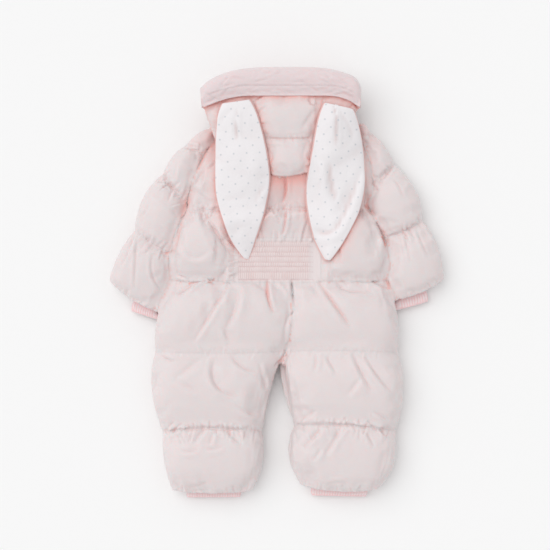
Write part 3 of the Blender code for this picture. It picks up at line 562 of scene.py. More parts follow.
def seam_axes(seam):
    """The seam's start, its direction, the direction towards the hem, and its length."""
    start = np.array([seam.x0, seam.y0])
    run = np.array([seam.x1, seam.y1]) - start
    length = np.linalg.norm(run)
    along = run / length
    return start, along, np.array([along[1], -along[0]]), length


def dip_of(seam, t):
    """How far a row has dipped towards the hem, at the share t of its length."""
    return seam.bow * 4 * t * (1 - t)


def beside(piece, seam):
    """How far along the seam each point lies, and how far from it towards the hem, and its length."""
    start, along, down, length = seam_axes(seam)
    offset = points_of(piece)[:, :2] / MM - start
    s = offset @ along
    return s, offset @ down - dip_of(seam, np.clip(s / length, 0, 1)), length


print(len(SEAMS), "rows of stitching")

# %% [markdown]
# The padding is thinner beside a row of stitching but doesn't stop there, so the valley along a seam
# is shallow in the middle of a panel. It is deepest at the seam's two ends, where the outline pulls in.

# %% Fill the valleys
FILL_WIDE = 9.0
END_FADE = 30.0  # millimetres from a seam's end to where its valley is filled
SLACK_WIDE, SLACK_ROUNDS = 24.0, 45
UPWARD = 0.3  # a normal whose height is more than this counts as facing up


def smooth_step(values):
    values = np.clip(values, 0, 1)
    return values * values * (3 - 2 * values)


def facing_up(normals):
    """1 where the cloth faces up, falling to 0 where it stands upright."""
    return np.clip(normals[:, 2] / UPWARD, 0, 1)


def fill_valley(piece, seam):
    """Raises the cloth along a seam by up to seam.fill millimetres, and by nothing at its ends."""
    points, normals = points_of(piece), normals_of(piece)
    s, across, length = beside(piece, seam)
    ends = smooth_step(np.minimum(s, length - s) / END_FADE)
    rise = seam.fill * np.exp(-((across / FILL_WIDE) ** 2)) * ends * facing_up(normals)
    points[:, 2] += rise * MM
    put_points(piece, points)


def relax_row(piece, seam):
    """Smooths the cloth along a row that is sewn so slack that it hardly shows."""
    s, across, length = beside(piece, seam)
    ends = smooth_step(np.minimum(s, length - s) / END_FADE)
    smooth_where(piece, np.exp(-((across / SLACK_WIDE) ** 2)) * ends, SLACK_ROUNDS)


for seam in SEAMS:
    for node in seam.panels:
        fill_valley(panels[node], seam)
        if seam.name.startswith("seat"):
            relax_row(panels[node], seam)
    print(seam.name, "filled by up to", seam.fill, "mm")

# %% [markdown]
# ## The gathered back
# Elastic draws the back in at the waist. The puff next to it can't stay full, because its cloth is
# held down in rows: it slopes down to the elastic over about three centimetres on each side, and over
# twice as far above it.

# %% Slope the bodice down to the elastic
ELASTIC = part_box("waist_elastic")
ELASTIC_LEFT, ELASTIC_RIGHT = ELASTIC[0][0] / MM, ELASTIC[1][0] / MM
ELASTIC_BOTTOM, ELASTIC_TOP = ELASTIC[0][1] / MM, ELASTIC[1][1] / MM
ELASTIC_HEIGHT = 33.0
SLOPE_BESIDE, SLOPE_ABOVE = 36.0, 62.0
SLOPE_FOOT, SLOPE_RISE = 3.0, 14.0
LOWEST_TOP = 6.0  # what lies less than this above the side seam isn't the top of the puff
CEILING_GIVES = 0.12  # the share of a bump that stays above the slope
LIFT_ENDS, LIFT_FADES = 0.75, 0.3  # shares of the slope
LOWEST_LIFTED_Y = 4.0


def slope_to_elastic(piece):
    """Brings the puff beside and above the elastic to meet it at its height."""
    points, normals = points_of(piece), normals_of(piece)
    x, y, z = (points / MM).T
    outside = np.maximum(np.maximum(ELASTIC_LEFT - x, x - ELASTIC_RIGHT), 0)
    over = np.maximum(y - ELASTIC_TOP, 0)
    away = np.hypot(outside / SLOPE_BESIDE, over / SLOPE_ABOVE)
    ceiling = ELASTIC_HEIGHT + SLOPE_FOOT + SLOPE_RISE * smooth_step(away)
    top = (z > SIDE_SEAM_Z / MM + LOWEST_TOP) & (away < 1)
    z = np.where(top & (z > ceiling), ceiling + CEILING_GIVES * (z - ceiling), z)
    lift = smooth_step((LIFT_ENDS - away) / LIFT_FADES) * facing_up(normals)
    lift = lift * (away > 0) * (y > LOWEST_LIFTED_Y)
    points[:, 2] = (z + lift * np.maximum(ceiling - z, 0)) * MM
    put_points(piece, points)
    return int(top.sum())


print(slope_to_elastic(panels["back_bodice"]), "points on the slope round the elastic")

# %% [markdown]
# ## Where panels are sewn together
# Padding runs on up to the stitches, so two panels meet in a soft valley and not in a ditch. The
# simulation had pinned the edges low. Each edge is now raised to just under the tops of the puffs
# around it. An armhole stays deeper, because its heavy seam pulls the cloth in.

# %% Raise the sewn edges
EDGE_WIDE = 9 * MM
EDGE_SEEN = 2.5  # times the width: no neighbour is looked for further away
EDGE_ROUNDS = 5
TOP_FACES_UP, TOP_CLEAR = 0.8, 0.35  # a top faces up and lies clear of the edges
TOPS_ASKED = 30
TOP_NEAREST = 4 * MM
SEAM_DIP = {
    "sleeve_left_back": 5.5 * MM, "sleeve_right_back": 5.5 * MM, "back_bodice": 1.2 * MM,
    "hood_crown": 1.0 * MM, "hood_side_left": 1.0 * MM, "hood_side_right": 1.0 * MM,
}
ARMHOLE_DIP, DIP_ELSEWHERE = 7.5 * MM, 2.4 * MM


def tree_of(pieces):
    """One search tree over these pieces."""
    corners, faces = [], []
    for piece in pieces:
        shift = len(corners)
        corners.extend(points_of(piece).tolist())
        faces.extend([[shift + index for index in face.vertices] for face in piece.data.polygons])
    return BVHTree.FromPolygons(corners, faces)


def search_tree(names, skip=None):
    """One search tree over these nodes: the blown panels, and the solids of the others."""
    return tree_of([panels.get(name) or solids[name] for name in names if name != skip])


def nearness(piece, tree):
    """How near each point is to the neighbouring panels, from 0 to 1 where they touch."""
    near = np.zeros(len(piece.data.vertices))
    for index, point in enumerate(points_of(piece).tolist()):
        distance = tree.find_nearest(point, EDGE_SEEN * EDGE_WIDE)[3]
        if distance is not None:
            near[index] = math.exp(-((distance / EDGE_WIDE) ** 2))
    return near


def tops_of(pieces, nears):
    """A search tree over the tops of the puffs in plan, and the height of each place in it."""
    places = []
    for piece, near in zip(pieces, nears):
        places.append(points_of(piece)[(normals_of(piece)[:, 2] > TOP_FACES_UP) & (near < TOP_CLEAR)])
    places = np.concatenate(places)
    tree = KDTree(len(places))
    for index, place in enumerate(places):
        tree.insert((place[0], place[1], 0), index)
    tree.balance()
    return tree, places[:, 2]


def raise_edges(piece, near, dip, tops):
    """Fills the valley where panels are sewn together, up to a dip below the puffs on both sides."""
    tree, heights = tops
    points, normals = points_of(piece), normals_of(piece)
    up = facing_up(normals)
    for index in np.flatnonzero((normals[:, 2] > 0) & (near > 0.01)):
        found = tree.find_n((points[index, 0], points[index, 1], 0), TOPS_ASKED)
        weights = [1 / (distance + TOP_NEAREST) for _, _, distance in found]
        level = np.average(heights[[number for _, number, _ in found]], weights=weights)
        points[index, 2] += max(level - dip[index] - points[index, 2], 0) * near[index] * up[index]
    put_points(piece, points)


sleeve_tree = search_tree(["sleeve_left_back", "sleeve_right_back"])
near = {}
for group in (SEWN_TOGETHER, HOOD_PANELS):
    for node in group:
        near[node] = nearness(panels[node], search_tree(group, skip=node))
    tops = tops_of([panels[node] for node in group], [near[node] for node in group])
    for node in group:
        dip = np.full(len(near[node]), SEAM_DIP.get(node, DIP_ELSEWHERE))
        if node.startswith("back"):
            dip += (ARMHOLE_DIP - dip) * nearness(panels[node], sleeve_tree)
        raise_edges(panels[node], near[node], dip, tops)
        smooth_where(panels[node], near[node], EDGE_ROUNDS)
        print(node, "has", int((near[node] > 0.5).sum()), "points at its sewn edges")

# %% [markdown]
# The edges stand upright and face each other across a slit. On the suit they are one line of thread,
# so each steep edge moves halfway to what it faces, and a little past it.

# %% Close the slits
SLIT_REACH, SLIT_OVERLAP = 9 * MM, 1.8 * MM
STEEP = 0.4
SKIN = 0.1 * MM  # a ray starts this far off the cloth, so that it doesn't meet its own face


def close_slits(piece, tree):
    """Moves the steep edges halfway to the neighbour they face, so that no slit is left at a seam."""
    points, normals = points_of(piece), normals_of(piece)
    level = normals * (1, 1, 0)
    steep = np.linalg.norm(level, axis=1)
    moved = 0
    for index in np.flatnonzero(steep > STEEP):
        direction = Vector(level[index] / steep[index])
        hit = tree.ray_cast(Vector(points[index]) + direction * SKIN, direction, SLIT_REACH)
        if hit[0] is not None:
            share = smooth_step((steep[index] - STEEP) / STEEP)
            points[index] += np.array(direction) * (hit[3] / 2 + SLIT_OVERLAP) * share
            moved += 1
    put_points(piece, points)
    return moved


for turn in (1, 2):
    for panel in PANELS:
        piece = panels[panel.node]
        others = search_tree(solids, skip=panel.node)
        print(panel.node, close_slits(piece, others), "points closed up")
        if turn == 1:
            smooth_where(piece, near[panel.node], EDGE_ROUNDS)

# %% [markdown]
# ## Nooks
# Where two puffs meet, or the hood hangs over the back, light reaches the cloth only by way of other
# pink cloth, and the place lies in salmon shade. That shade is painted: each point looks about with a
# handful of rays, and the share that meets cloth nearby is kept as an attribute, which paints salmon shade
# into the material's colour.

# %% Measure the nooks
NOOK_REACH = 55 * MM
NOOK_RAYS = 14
WIDEST_SINE = 0.97
RAY_LIFT = 0.3 * MM
SLANT = (0.36, 0.48, 0.8)  # any direction that no normal shares will do


def ray_fan():
    """Evenly spread directions round +Z, more of them near it."""
    turn = math.pi * (3 - math.sqrt(5))
    for index in range(NOOK_RAYS):
        sine = math.sqrt((index + 0.5) / NOOK_RAYS) * WIDEST_SINE
        yield sine * math.cos(turn * index), sine * math.sin(turn * index), math.sqrt(1 - sine * sine)


def measure_nooks(piece, tree):
    """Stores how much of each point's outlook is closed by cloth nearby, and returns the mean."""
    points, normals = points_of(piece), normals_of(piece)
    side = np.cross(normals, SLANT)
    side /= np.maximum(np.linalg.norm(side, axis=1, keepdims=True), 1e-6)
    other = np.cross(normals, side)
    start = (points + normals * RAY_LIFT).tolist()
    nook = np.zeros(len(points))
    for u, v, w in ray_fan():
        for index, direction in enumerate((side * u + other * v + normals * w).tolist()):
            hit = tree.ray_cast(start[index], direction, NOOK_REACH)
            if hit[0] is not None:
                inside = hit[1].dot(Vector(direction)) > 0
                nook[index] += 1 if inside else 1 - hit[3] / NOOK_REACH
    store(piece, "nook", nook / NOOK_RAYS)
    return nook.mean() / NOOK_RAYS


tree = search_tree(solids)
for panel in PANELS:
    print(panel.node, "mean nook", round(measure_nooks(panels[panel.node], tree), 3))

# %% [markdown]
# ## Pressing creases into the cloth
# A crease in a thin shell is a narrow trough with a soft lip on one side, where the spare cloth piles
# up. It starts and ends at nothing. A crease is described by three places it runs through, its depth,
# its half width and the side of its lip, and every mesh point near it is moved down or up by that.
# The deepest creases also have painted shade: how strongly salmon shade is painted into their troughs.

# %% Crease tool
Crease = namedtuple("Crease", "name x0 y0 x1 y1 x2 y2 depth half_width lip warmth", defaults=(0,))
CREASE_STEPS = 14
CREASE_REACH = 4.5  # in half widths, as are the next two
LIP_AWAY, LIP_WIDE = 2.3, 1.7
TROUGH_SHARE, LIP_SHARE = 0.75, 0.6  # of the depth
TAPER_POWER = 0.6
CREASE_FACING = 0.5  # a normal at least this high takes the whole depth


def crease_line(crease):
    """Points along a smooth curve through the crease's three places."""
    t = np.linspace(0, 1, CREASE_STEPS + 1)[:, None]
    ends = np.array([[crease.x0, crease.y0], [crease.x2, crease.y2]])
    control = 2 * np.array([crease.x1, crease.y1]) - ends.mean(axis=0)
    return (1 - t) ** 2 * ends[0] + 2 * t * (1 - t) * control + t**2 * ends[1]


def press(points, normals, crease, warmth):
    """Moves the points along their normals to form one crease; all its sizes are in millimetres."""
    line = crease_line(crease)
    reach = crease.half_width * CREASE_REACH
    low, high = line.min(axis=0) - reach, line.max(axis=0) + reach
    plan = points[:, :2] / MM
    near = np.flatnonzero(((plan > low) & (plan < high)).all(axis=1) & (normals[:, 2] > 0.05))
    if not len(near):
        return
    start, step = line[:-1], np.diff(line, axis=0)
    offset = plan[near][:, None, :] - start[None]
    along = np.clip((offset * step).sum(axis=2) / (step**2).sum(axis=1), 0, 1)
    away = offset - along[..., None] * step[None]
    distance = np.linalg.norm(away, axis=2)
    best = distance.argmin(axis=1)
    row = np.arange(len(near))
    side = np.sign(step[best, 0] * away[row, best, 1] - step[best, 1] * away[row, best, 0])
    travel = (best + along[row, best]) / CREASE_STEPS
    across = side * distance[row, best] / crease.half_width
    trough = np.exp(-across**2)
    lip = np.exp(-((across - LIP_AWAY * crease.lip) / LIP_WIDE) ** 2)
    taper = np.sin(np.pi * np.clip(travel, 0, 1)) ** TAPER_POWER
    facing = np.clip(normals[near, 2] / CREASE_FACING, 0, 1)
    move = crease.depth * MM * (LIP_SHARE * lip - TROUGH_SHARE * trough) * taper * facing
    points[near] += normals[near] * move[:, None]
    # painted shade along the trough of a deep crease
    warmth[near] = np.maximum(warmth[near], crease.warmth * trough * taper)


def press_all(piece, creases):
    """Presses the creases in, and returns how much salmon shade is painted at each point in the deepest of
    them.
    """
    points, normals = points_of(piece), normals_of(piece)
    warmth = np.zeros(len(points))
    for crease in creases:
        press(points, normals, crease, warmth)
    put_points(piece, points)
    return warmth


# %% [markdown]
# Rows of stitching gather the shell, so short creases fan out on both sides of each row. They are of
# uneven length and spacing, drawn with a fixed seed. The puff above a row also sags over it in
# scallops, which come from a smooth random wave.

# %% Puckers along the seams
PUCKER_PITCH = 8.5  # millimetres between neighbouring puckers
PUCKER_CLEAR = 2.0  # from the ends of the row
PUCKER_SLANT, PUCKER_BEND, PUCKER_HEEL = 0.35, 0.06, 0.35
SAG_ABOVE, SAG_WIDE, SAG_PAST = 7.0, 5.0, 6.0
SCALLOP, SMALL_SCALLOP = 16, 6
KNOTS, FIRST_KNOT = 4096, 1000


def seam_puckers(seam, seed):
    """Short creases that fan out on both sides of a row of stitching."""
    draw = np.random.default_rng(seed)
    start, along, down, length = seam_axes(seam)
    for side, reach in ((-1, seam.above), (1, seam.below)):
        s = draw.uniform(PUCKER_CLEAR, PUCKER_PITCH)
        while s < length - PUCKER_CLEAR:
            foot = start + along * s + down * dip_of(seam, s / length)
            long = reach * draw.uniform(0.3, 1.0)
            slant = draw.normal(0, PUCKER_SLANT)
            tip = foot + (down * side + along * slant) * long
            middle = (foot + tip) / 2 + along * draw.normal(0, PUCKER_BEND) * long
            depth = seam.pucker * draw.uniform(0.6, 2.0) * (0.6 + 0.4 * long / reach)
            heel = foot - (tip - foot) * PUCKER_HEEL
            half_width = draw.uniform(1.2, 1.9)
            yield Crease(seam.name, *heel, *middle, *tip, depth, half_width, draw.choice([-1, 1]))
            s += PUCKER_PITCH * draw.uniform(0.45, 1.6)


def wander(values, pitch, seed):
    """Smooth random wave with the given pitch, from -1 to 1."""
    knots = np.random.default_rng(seed).uniform(-1, 1, KNOTS)
    place = values / pitch + FIRST_KNOT
    whole = np.floor(place).astype(int)
    part = smooth_step(place - whole)
    return knots[whole % KNOTS] * (1 - part) + knots[(whole + 1) % KNOTS] * part


def overhang(piece, seam, seed):
    """Lets the puff above a seam sag over the stitching, in uneven scallops."""
    points = points_of(piece)
    s, across, length = beside(piece, seam)
    inside = (s > -SAG_PAST) & (s < length + SAG_PAST)
    sag = np.exp(-(((-across - SAG_ABOVE) / SAG_WIDE) ** 2)) * inside
    uneven = 0.55 + 0.45 * wander(s, SCALLOP, seed) + 0.25 * wander(s, SMALL_SCALLOP, seed + 1)
    points[:, :2] += (sag * uneven * seam.overhang * MM)[:, None] * seam_axes(seam)[2]
    put_points(piece, points)


# %% [markdown]
# The larger creases are placed one by one, because they tell how this suit was laid down: the sleeves
# pull at the raglan seams, the elastic pulls at the back, and each leg has rolled a little on its seam.
# Sizes and places are in millimetres, and most lie where the solids have a shallower fold of their own.

# %% Creases placed one by one
CREASES = [
    Crease("left diagonal", -109, 115, -94, 83, -60, 35, 3.2, 2.2, 1),
    Crease("beside the left diagonal", -73, 67, -68, 61, -62, 53, 2.0, 1.6, 1),
    Crease("body beside the left raglan", -110, 169, -116, 157, -122, 146, 2.4, 2.0, -1),
    Crease("left raglan pit", -128, 132, -136, 115, -141, 98, 2.0, 4.2, 1, 0.85),
    Crease("left raglan pit, shade", -124, 146, -137, 117, -140, 94, 1.4, 8.0, 1, 0.45),
    Crease("left raglan, upper", -99, 205, -110, 188, -117, 168, 3.0, 2.6, 1, 0.4),
    Crease("left raglan, lower", -138, 100, -146, 72, -152, 44, 2.4, 2.6, 1, 0.35),
    Crease("right raglan pit", 130, 168, 134, 140, 134, 110, 7.0, 3.2, -1),
    Crease("right raglan pit, foot", 132, 120, 139, 110, 148, 101, 5.0, 2.6, -1, 0.4),
    Crease("right raglan, edge", 148, 92, 158, 76, 163, 52, 2.6, 2.4, -1, 0.4),
    Crease("right elbow pit", 157, 71, 161, 64, 163, 55, 4.0, 2.2, -1, 0.8),
    Crease("right waist pit", 164, 9, 167, 0, 170, -9, 3.0, 2.0, 1, 0.5),
    Crease("left yoke corner", -104, 172, -97, 174, -91, 179, 2.2, 2.0, 1),
    Crease("left waist smile", -146, 68, -124, 40, -101, 50, 1.8, 3.2, -1),
    Crease("yoke slit", 10, 163, 14, 142, 9, 120, 5.0, 2.0, 1, 0.35),
    Crease("waist ray, far left", -8, 113, -16, 104, -21, 95, 2.2, 1.8, 1),
    Crease("waist ray, left", -26, 89, -22, 76, -18, 60, 1.8, 1.5, -1),
    Crease("waist ray, deep", 13, 113, 13, 92, 8, 71, 3.4, 1.9, 1, 0.35),
    Crease("waist ray, short", 1, 79, 2, 68, 4, 58, 1.6, 1.4, 1),
    Crease("waist ray, right", 48, 96, 42, 79, 39, 58, 1.8, 1.8, -1),
    Crease("waist ray, upper", 7, 112, -1, 107, -7, 101, 1.5, 1.5, 1),
    Crease("waist ray, far right", 62, 65, 68, 55, 76, 47, 1.5, 1.6, 1),
    Crease("left of the gathers", -55, 16, -64, 13, -71, 9, 2.0, 1.5, -1),
    Crease("seat, below the gathers", -13, 11, -13, -17, -4, -44, 3.6, 1.7, 1, 0.45),
    Crease("centre back seam, upper", 28, 14, 23, -7, 31, -40, 1.8, 1.8, -1),
    Crease("centre back seam, lower", 31, -38, 14, -59, 14, -92, 1.2, 1.7, 1),
    Crease("seat right, long", 56, 13, 85, -29, 111, -65, 2.2, 2.0, -1, 0.3),
    Crease("seat left, long", -72, -1, -94, -38, -124, -87, 2.6, 2.0, 1),
    Crease("seat left, inner", -56, -4, -62, -37, -76, -68, 2.2, 2.6, 1),
    Crease("seat left, inner foot", -76, -67, -74, -77, -68, -86, 1.6, 2.0, -1),
    Crease("seat left, edge", -121, 5, -134, -7, -148, -17, 2.6, 1.7, 1),
    Crease("seat left, edge, upper", -113, 5, -122, -1, -131, -7, 1.8, 1.4, 1),
    Crease("side pucker, left", -151, 13, -140, 10, -128, 2, 1.8, 1.5, -1),
    Crease("side pucker, left, lower", -149, 4, -139, 2, -130, -2, 1.4, 1.4, -1),
    Crease("seat right, upper", 88, 5, 106, -10, 143, -10, 2.2, 1.8, -1),
    Crease("seat right, edge", 137, 7, 154, -1, 173, -9, 2.4, 1.7, -1),
    Crease("crotch", 13, -98, 8, -113, -3, -123, 4.2, 1.6, 1),
    Crease("crotch, right", 16, -100, 18, -115, 20, -133, 2.2, 1.8, -1),
    Crease("thigh left, inner", -68, -107, -50, -124, -28, -131, 2.0, 1.8, -1),
    Crease("thigh left, long", -92, -110, -90, -149, -56, -168, 2.2, 2.2, -1),
    Crease("thigh left, patch, upper", -113, -112, -133, -127, -152, -140, 1.6, 3.0, 1),
    Crease("thigh left, patch, lower", -152, -140, -134, -151, -113, -160, 1.4, 3.0, -1),
    Crease("thigh left, seam side", -26, -119, -20, -140, -13, -161, 2.0, 1.7, 1),
    Crease("thigh left, low", -61, -181, -44, -191, -28, -196, 1.4, 2.2, -1),
    Crease("thigh left, puckers", -173, -107, -163, -112, -152, -116, 2.0, 1.5, 1),
    Crease("thigh right, a", 58, -103, 58, -116, 55, -131, 1.8, 1.8, 1),
    Crease("thigh right, b", 73, -106, 80, -118, 89, -133, 1.8, 1.8, -1),
    Crease("thigh right, c", 113, -103, 124, -128, 142, -160, 2.4, 2.0, -1),
    Crease("thigh right, d", 131, -106, 149, -134, 173, -163, 2.4, 2.0, -1),
    Crease("thigh right, e", 125, -139, 115, -152, 104, -166, 1.4, 2.4, 1),
    Crease("thigh right, low", 59, -188, 46, -196, 32, -203, 1.8, 2.0, 1),
    Crease("thigh right, low, outer", 143, -190, 155, -196, 167, -205, 1.6, 1.8, -1),
    Crease("right leg, inner seam", 14, -109, 16, -145, 24, -202, 2.0, 1.6, 1),
    Crease("right shin, inner seam", 28, -211, 21, -235, 22, -268, 1.6, 1.5, 1),
    Crease("shin left, a", -152, -206, -160, -212, -165, -221, 2.2, 1.6, 1),
    Crease("shin left, b", -140, -208, -149, -215, -157, -224, 2.4, 1.7, 1),
    Crease("shin left, c", -106, -211, -112, -221, -122, -236, 2.0, 2.0, 1),
    Crease("shin left, d", -95, -221, -97, -230, -100, -239, 1.8, 1.8, 1),
    Crease("shin left, e", -77, -214, -67, -226, -52, -238, 2.0, 1.9, -1),
    Crease("shin left, soft", -143, -247, -130, -249, -116, -246, 1.3, 1.8, -1),
    Crease("shin left, soft, inner", -104, -244, -92, -245, -79, -241, 1.3, 1.8, -1),
    Crease("shin left, low", -131, -303, -116, -301, -103, -295, 1.3, 1.8, 1),
    Crease("shin left, edge", -22, -236, -19, -247, -19, -259, 1.6, 1.8, 1),
    Crease("shin right, a", 68, -214, 53, -229, 40, -242, 2.2, 1.9, 1),
    Crease("shin right, b", 98, -208, 86, -232, 72, -254, 2.2, 2.1, 1),
    Crease("shin right, c", 65, -244, 61, -253, 53, -263, 1.5, 1.9, 1),
    Crease("shin right, d", 134, -220, 139, -230, 145, -242, 1.8, 1.7, -1),
    Crease("shin right, e", 152, -215, 158, -221, 166, -229, 1.8, 1.5, -1),
    Crease("shin right, low", 73, -301, 89, -296, 106, -298, 1.3, 1.8, 1),
    Crease("left forearm, outer", -211, 79, -221, 50, -233, 25, 2.6, 2.0, 1),
    Crease("left forearm, middle", -208, 73, -210, 34, -212, -11, 2.0, 1.9, -1),
    Crease("left forearm, inner", -184, 44, -185, 14, -170, -11, 2.0, 1.9, -1),
    Crease("left shoulder, notch", -140, 204, -124, 200, -109, 197, 2.4, 1.6, -1),
    Crease("left shoulder, ray", -139, 208, -127, 206, -113, 202, 1.6, 1.4, -1),
    Crease("left shoulder, ray, inner", -130, 214, -119, 211, -106, 205, 1.6, 1.5, -1),
    Crease("left upper arm, notch", -167, 163, -163, 149, -146, 136, 2.6, 1.7, -1),
    Crease("left upper arm, fan a", -179, 140, -169, 145, -158, 139, 1.6, 1.4, 1),
    Crease("left upper arm, fan b", -181, 151, -170, 152, -161, 148, 1.5, 1.4, 1),
    Crease("left upper arm, ray", -154, 140, -158, 133, -161, 122, 2.0, 1.6, 1),
    Crease("left elbow, inner", -169, 46, -160, 47, -154, 52, 1.8, 1.5, 1, 0.5),
    Crease("left elbow, outer", -205, 98, -196, 107, -188, 121, 1.6, 1.8, 1),
    Crease("left arm, along", -148, 181, -152, 167, -151, 154, 1.5, 2.2, 1),
    Crease("right forearm, inner", 191, 77, 194, 58, 200, 32, 2.2, 2.0, -1),
    Crease("right forearm, outer", 208, 86, 215, 65, 227, 38, 2.0, 2.0, -1),
    Crease("right forearm, edge", 221, 92, 230, 77, 239, 61, 1.6, 1.6, -1),
    Crease("right upper arm, notch", 176, 178, 167, 166, 154, 154, 2.4, 1.7, 1),
    Crease("right upper arm, ray", 173, 158, 182, 146, 188, 130, 1.6, 1.9, -1),
    Crease("right shoulder, ray", 139, 226, 149, 214, 161, 200, 1.6, 1.9, 1),
    Crease("right elbow, inner", 164, 68, 173, 73, 185, 76, 2.0, 1.6, 1),
    Crease("crown corner", -19, 280, -28, 274, -35, 268, 2.6, 1.8, 1),
    Crease("crown pit", -31, 251, -22, 257, -13, 263, 2.0, 2.2, 1),
    Crease("crown right corner", 49, 277, 52, 266, 67, 265, 2.4, 1.8, -1),
    Crease("crown right, soft", 55, 256, 46, 242, 37, 227, 1.4, 2.8, 1),
    Crease("crown, lower", 44, 209, 41, 197, 38, 184, 1.4, 2.4, 1),
    Crease("crown, right end pit", 115, 268, 119, 262, 121, 255, 5.0, 2.2, -1),
    Crease("crown, sewn line", -19, 216, 18, 214.6, 56, 216, 0.8, 1.1, 1, 0.4),
    Crease("crown, lower left", -13, 199, -7, 188, -5, 173, 1.3, 2.2, -1),
]
print(len(CREASES), "creases by hand")

# %% [markdown]
# The elastic pulls finer rays too. A short one runs out to the left from each row, where the cloth is
# free to fan out, and uneven ones run up from its top edge. On the right the puff lies close and
# smooth, so there are none.

# %% Rays of the gathered back
RAY_ROW_PITCH = 4.5
RAY_START = 4.0  # how far inside the elastic a ray begins


def gather_rays(seed):
    """Short creases that run out from the elastic: to the left of it and above it."""
    draw = np.random.default_rng(seed)
    middle_x, middle_y = 0.5 * (ELASTIC_LEFT + ELASTIC_RIGHT), 0.5 * (ELASTIC_BOTTOM + ELASTIC_TOP)
    for y in np.arange(ELASTIC_BOTTOM + 3, ELASTIC_TOP, RAY_ROW_PITCH):
        fan = (y - middle_y) * 0.35 + draw.normal(0, 2)
        long = draw.uniform(10, 26)
        x0 = ELASTIC_LEFT + RAY_START
        yield Crease("row", x0, y, x0 - long * 0.6, y + fan * 0.4, x0 - long, y + fan,
                     draw.uniform(0.7, 1.7), draw.uniform(1.1, 1.7), draw.choice([-1, 1]))
    x = ELASTIC_LEFT + 3
    while x < ELASTIC_RIGHT - 2:
        fan = (x - middle_x) * 0.12 + draw.normal(0, 2)
        long = draw.uniform(8, 26)
        y0 = ELASTIC_TOP - RAY_START - 1
        yield Crease("ray", x, y0, x + fan * 0.5, y0 + long * 0.6, x + fan, y0 + long,
                     draw.uniform(0.6, 1.6), draw.uniform(1.1, 1.8), draw.choice([-1, 1]))
        x += draw.uniform(3.5, 9)


# %% [markdown]
# Two puffs that are sewn together don't meet in a crack: the stitches hold their cloth side by side,
# so the bottom of the valley is one surface. The heights seen from above are taken on a fine grid,
# what is narrower than a finger is filled in, and the edges of both puffs are raised to that.

# %% Seal the seams
MAP_STEP = 1.0  # millimetres
MAP_MARGIN = 12.0
DROP_FROM = 120 * MM
SEAL_REACH = 4
SEAL_SOFT = 3
SEAL_DEEPEST = 16.0
SEAL_ROUNDS = 4
NOOK_SEALED = 0.85  # the share of its nook that a raised place loses
NOOK_FADE = 3.0


def drop_onto(tree, x, y):
    """Where something dropped at this place in plan lands, and the normal there."""
    place, normal, _, _ = tree.ray_cast((x, y, DROP_FROM), (0, 0, -1))
    return place, normal


def height_map(pieces):
    """The heights in millimetres seen from above, on an even grid over the suit."""
    tree = tree_of(pieces)
    axes = [np.arange(cad_box[0][axis] / MM - MAP_MARGIN, cad_box[1][axis] / MM + MAP_MARGIN, MAP_STEP)
            for axis in (0, 1)]
    heights = np.zeros((len(axes[1]), len(axes[0])))
    for row, y in enumerate(axes[1] * MM):
        for column, x in enumerate(axes[0] * MM):
            place, _ = drop_onto(tree, x, y)
            if place is not None:
                heights[row, column] = place[2] / MM
    return axes, heights


def most_within(grid, pick, reach):
    """The largest or smallest value within reach of each place of a grid."""
    best = grid.copy()
    for down in range(-reach, reach + 1):
        for over in range(-reach, reach + 1):
            if down * down + over * over <= reach * reach:
                best = pick(best, np.roll(grid, (down, over), (0, 1)))
    return best


def filled(heights):
    """The heights with every narrow valley filled in and softened."""
    closed = most_within(most_within(heights, np.maximum, SEAL_REACH), np.minimum, SEAL_REACH)
    for _ in range(SEAL_SOFT):
        for axis in (0, 1):
            closed = (np.roll(closed, 1, axis) + 2 * closed + np.roll(closed, -1, axis)) / 4
    return closed


def read_map(axes, heights, x, y):
    """The height at each place, between the four places of the grid round it."""
    column, row = (x - axes[0][0]) / MAP_STEP, (y - axes[1][0]) / MAP_STEP
    left, low = np.floor(column).astype(int), np.floor(row).astype(int)
    a, b = column - left, row - low
    lower = (1 - a) * heights[low, left] + a * heights[low, left + 1]
    upper = (1 - a) * heights[low + 1, left] + a * heights[low + 1, left + 1]
    return (1 - b) * lower + b * upper


def seal(piece, near, axes, heights):
    """Raises the edges of a panel to the filled heights."""
    points, normals = points_of(piece), normals_of(piece)
    x, y, z = (points / MM).T
    rise = np.maximum(read_map(axes, heights, x, y) - z, 0)
    rise[(normals[:, 2] < -0.1) | (rise > SEAL_DEEPEST)] = 0
    points[:, 2] += rise * smooth_step((near - 0.1) / 0.3) * MM
    put_points(piece, points)
    # A raised place is no longer in a nook, so less salmon shade is painted on it.
    layer = piece.data.attributes["nook"].data
    nook = values_of(layer, "value") * (1 - NOOK_SEALED * smooth_step(near * rise / NOOK_FADE))
    layer.foreach_set("value", nook)
    return float(rise[near > 0.4].mean())


for piece in panels.values():
    subdivide(piece)
for group in (SEWN_TOGETHER, HOOD_PANELS):
    axes, heights = height_map([panels[node] for node in group])
    heights = filled(heights)
    for node in group:
        near_now = nearness(panels[node], search_tree(group, skip=node))
        print(node, "edges raised by", round(seal(panels[node], near_now, axes, heights), 2), "mm")
        smooth_where(panels[node], near_now, SEAL_ROUNDS)

# %% [markdown]
# ## How deep in a fold
# The material needs to know where the folds are. A point in a fold lies lower than its neighbours, so
# the mesh itself can be asked. Its nook and any painted shade below an edge or in a deep crease are added,
# and the sum is the attribute by which salmon shade is painted into the cloth. Every piece is then finished
# in the same way: its material, smooth shading, the body it rides on and the solid that it stands for.

# %% Fold attribute and finish
FOLD_POWER = 1.25
NOOK_OPEN = 0.12
NOOK_PAINTED_SHADE, NOOK_POWER = 1.15, 1.3


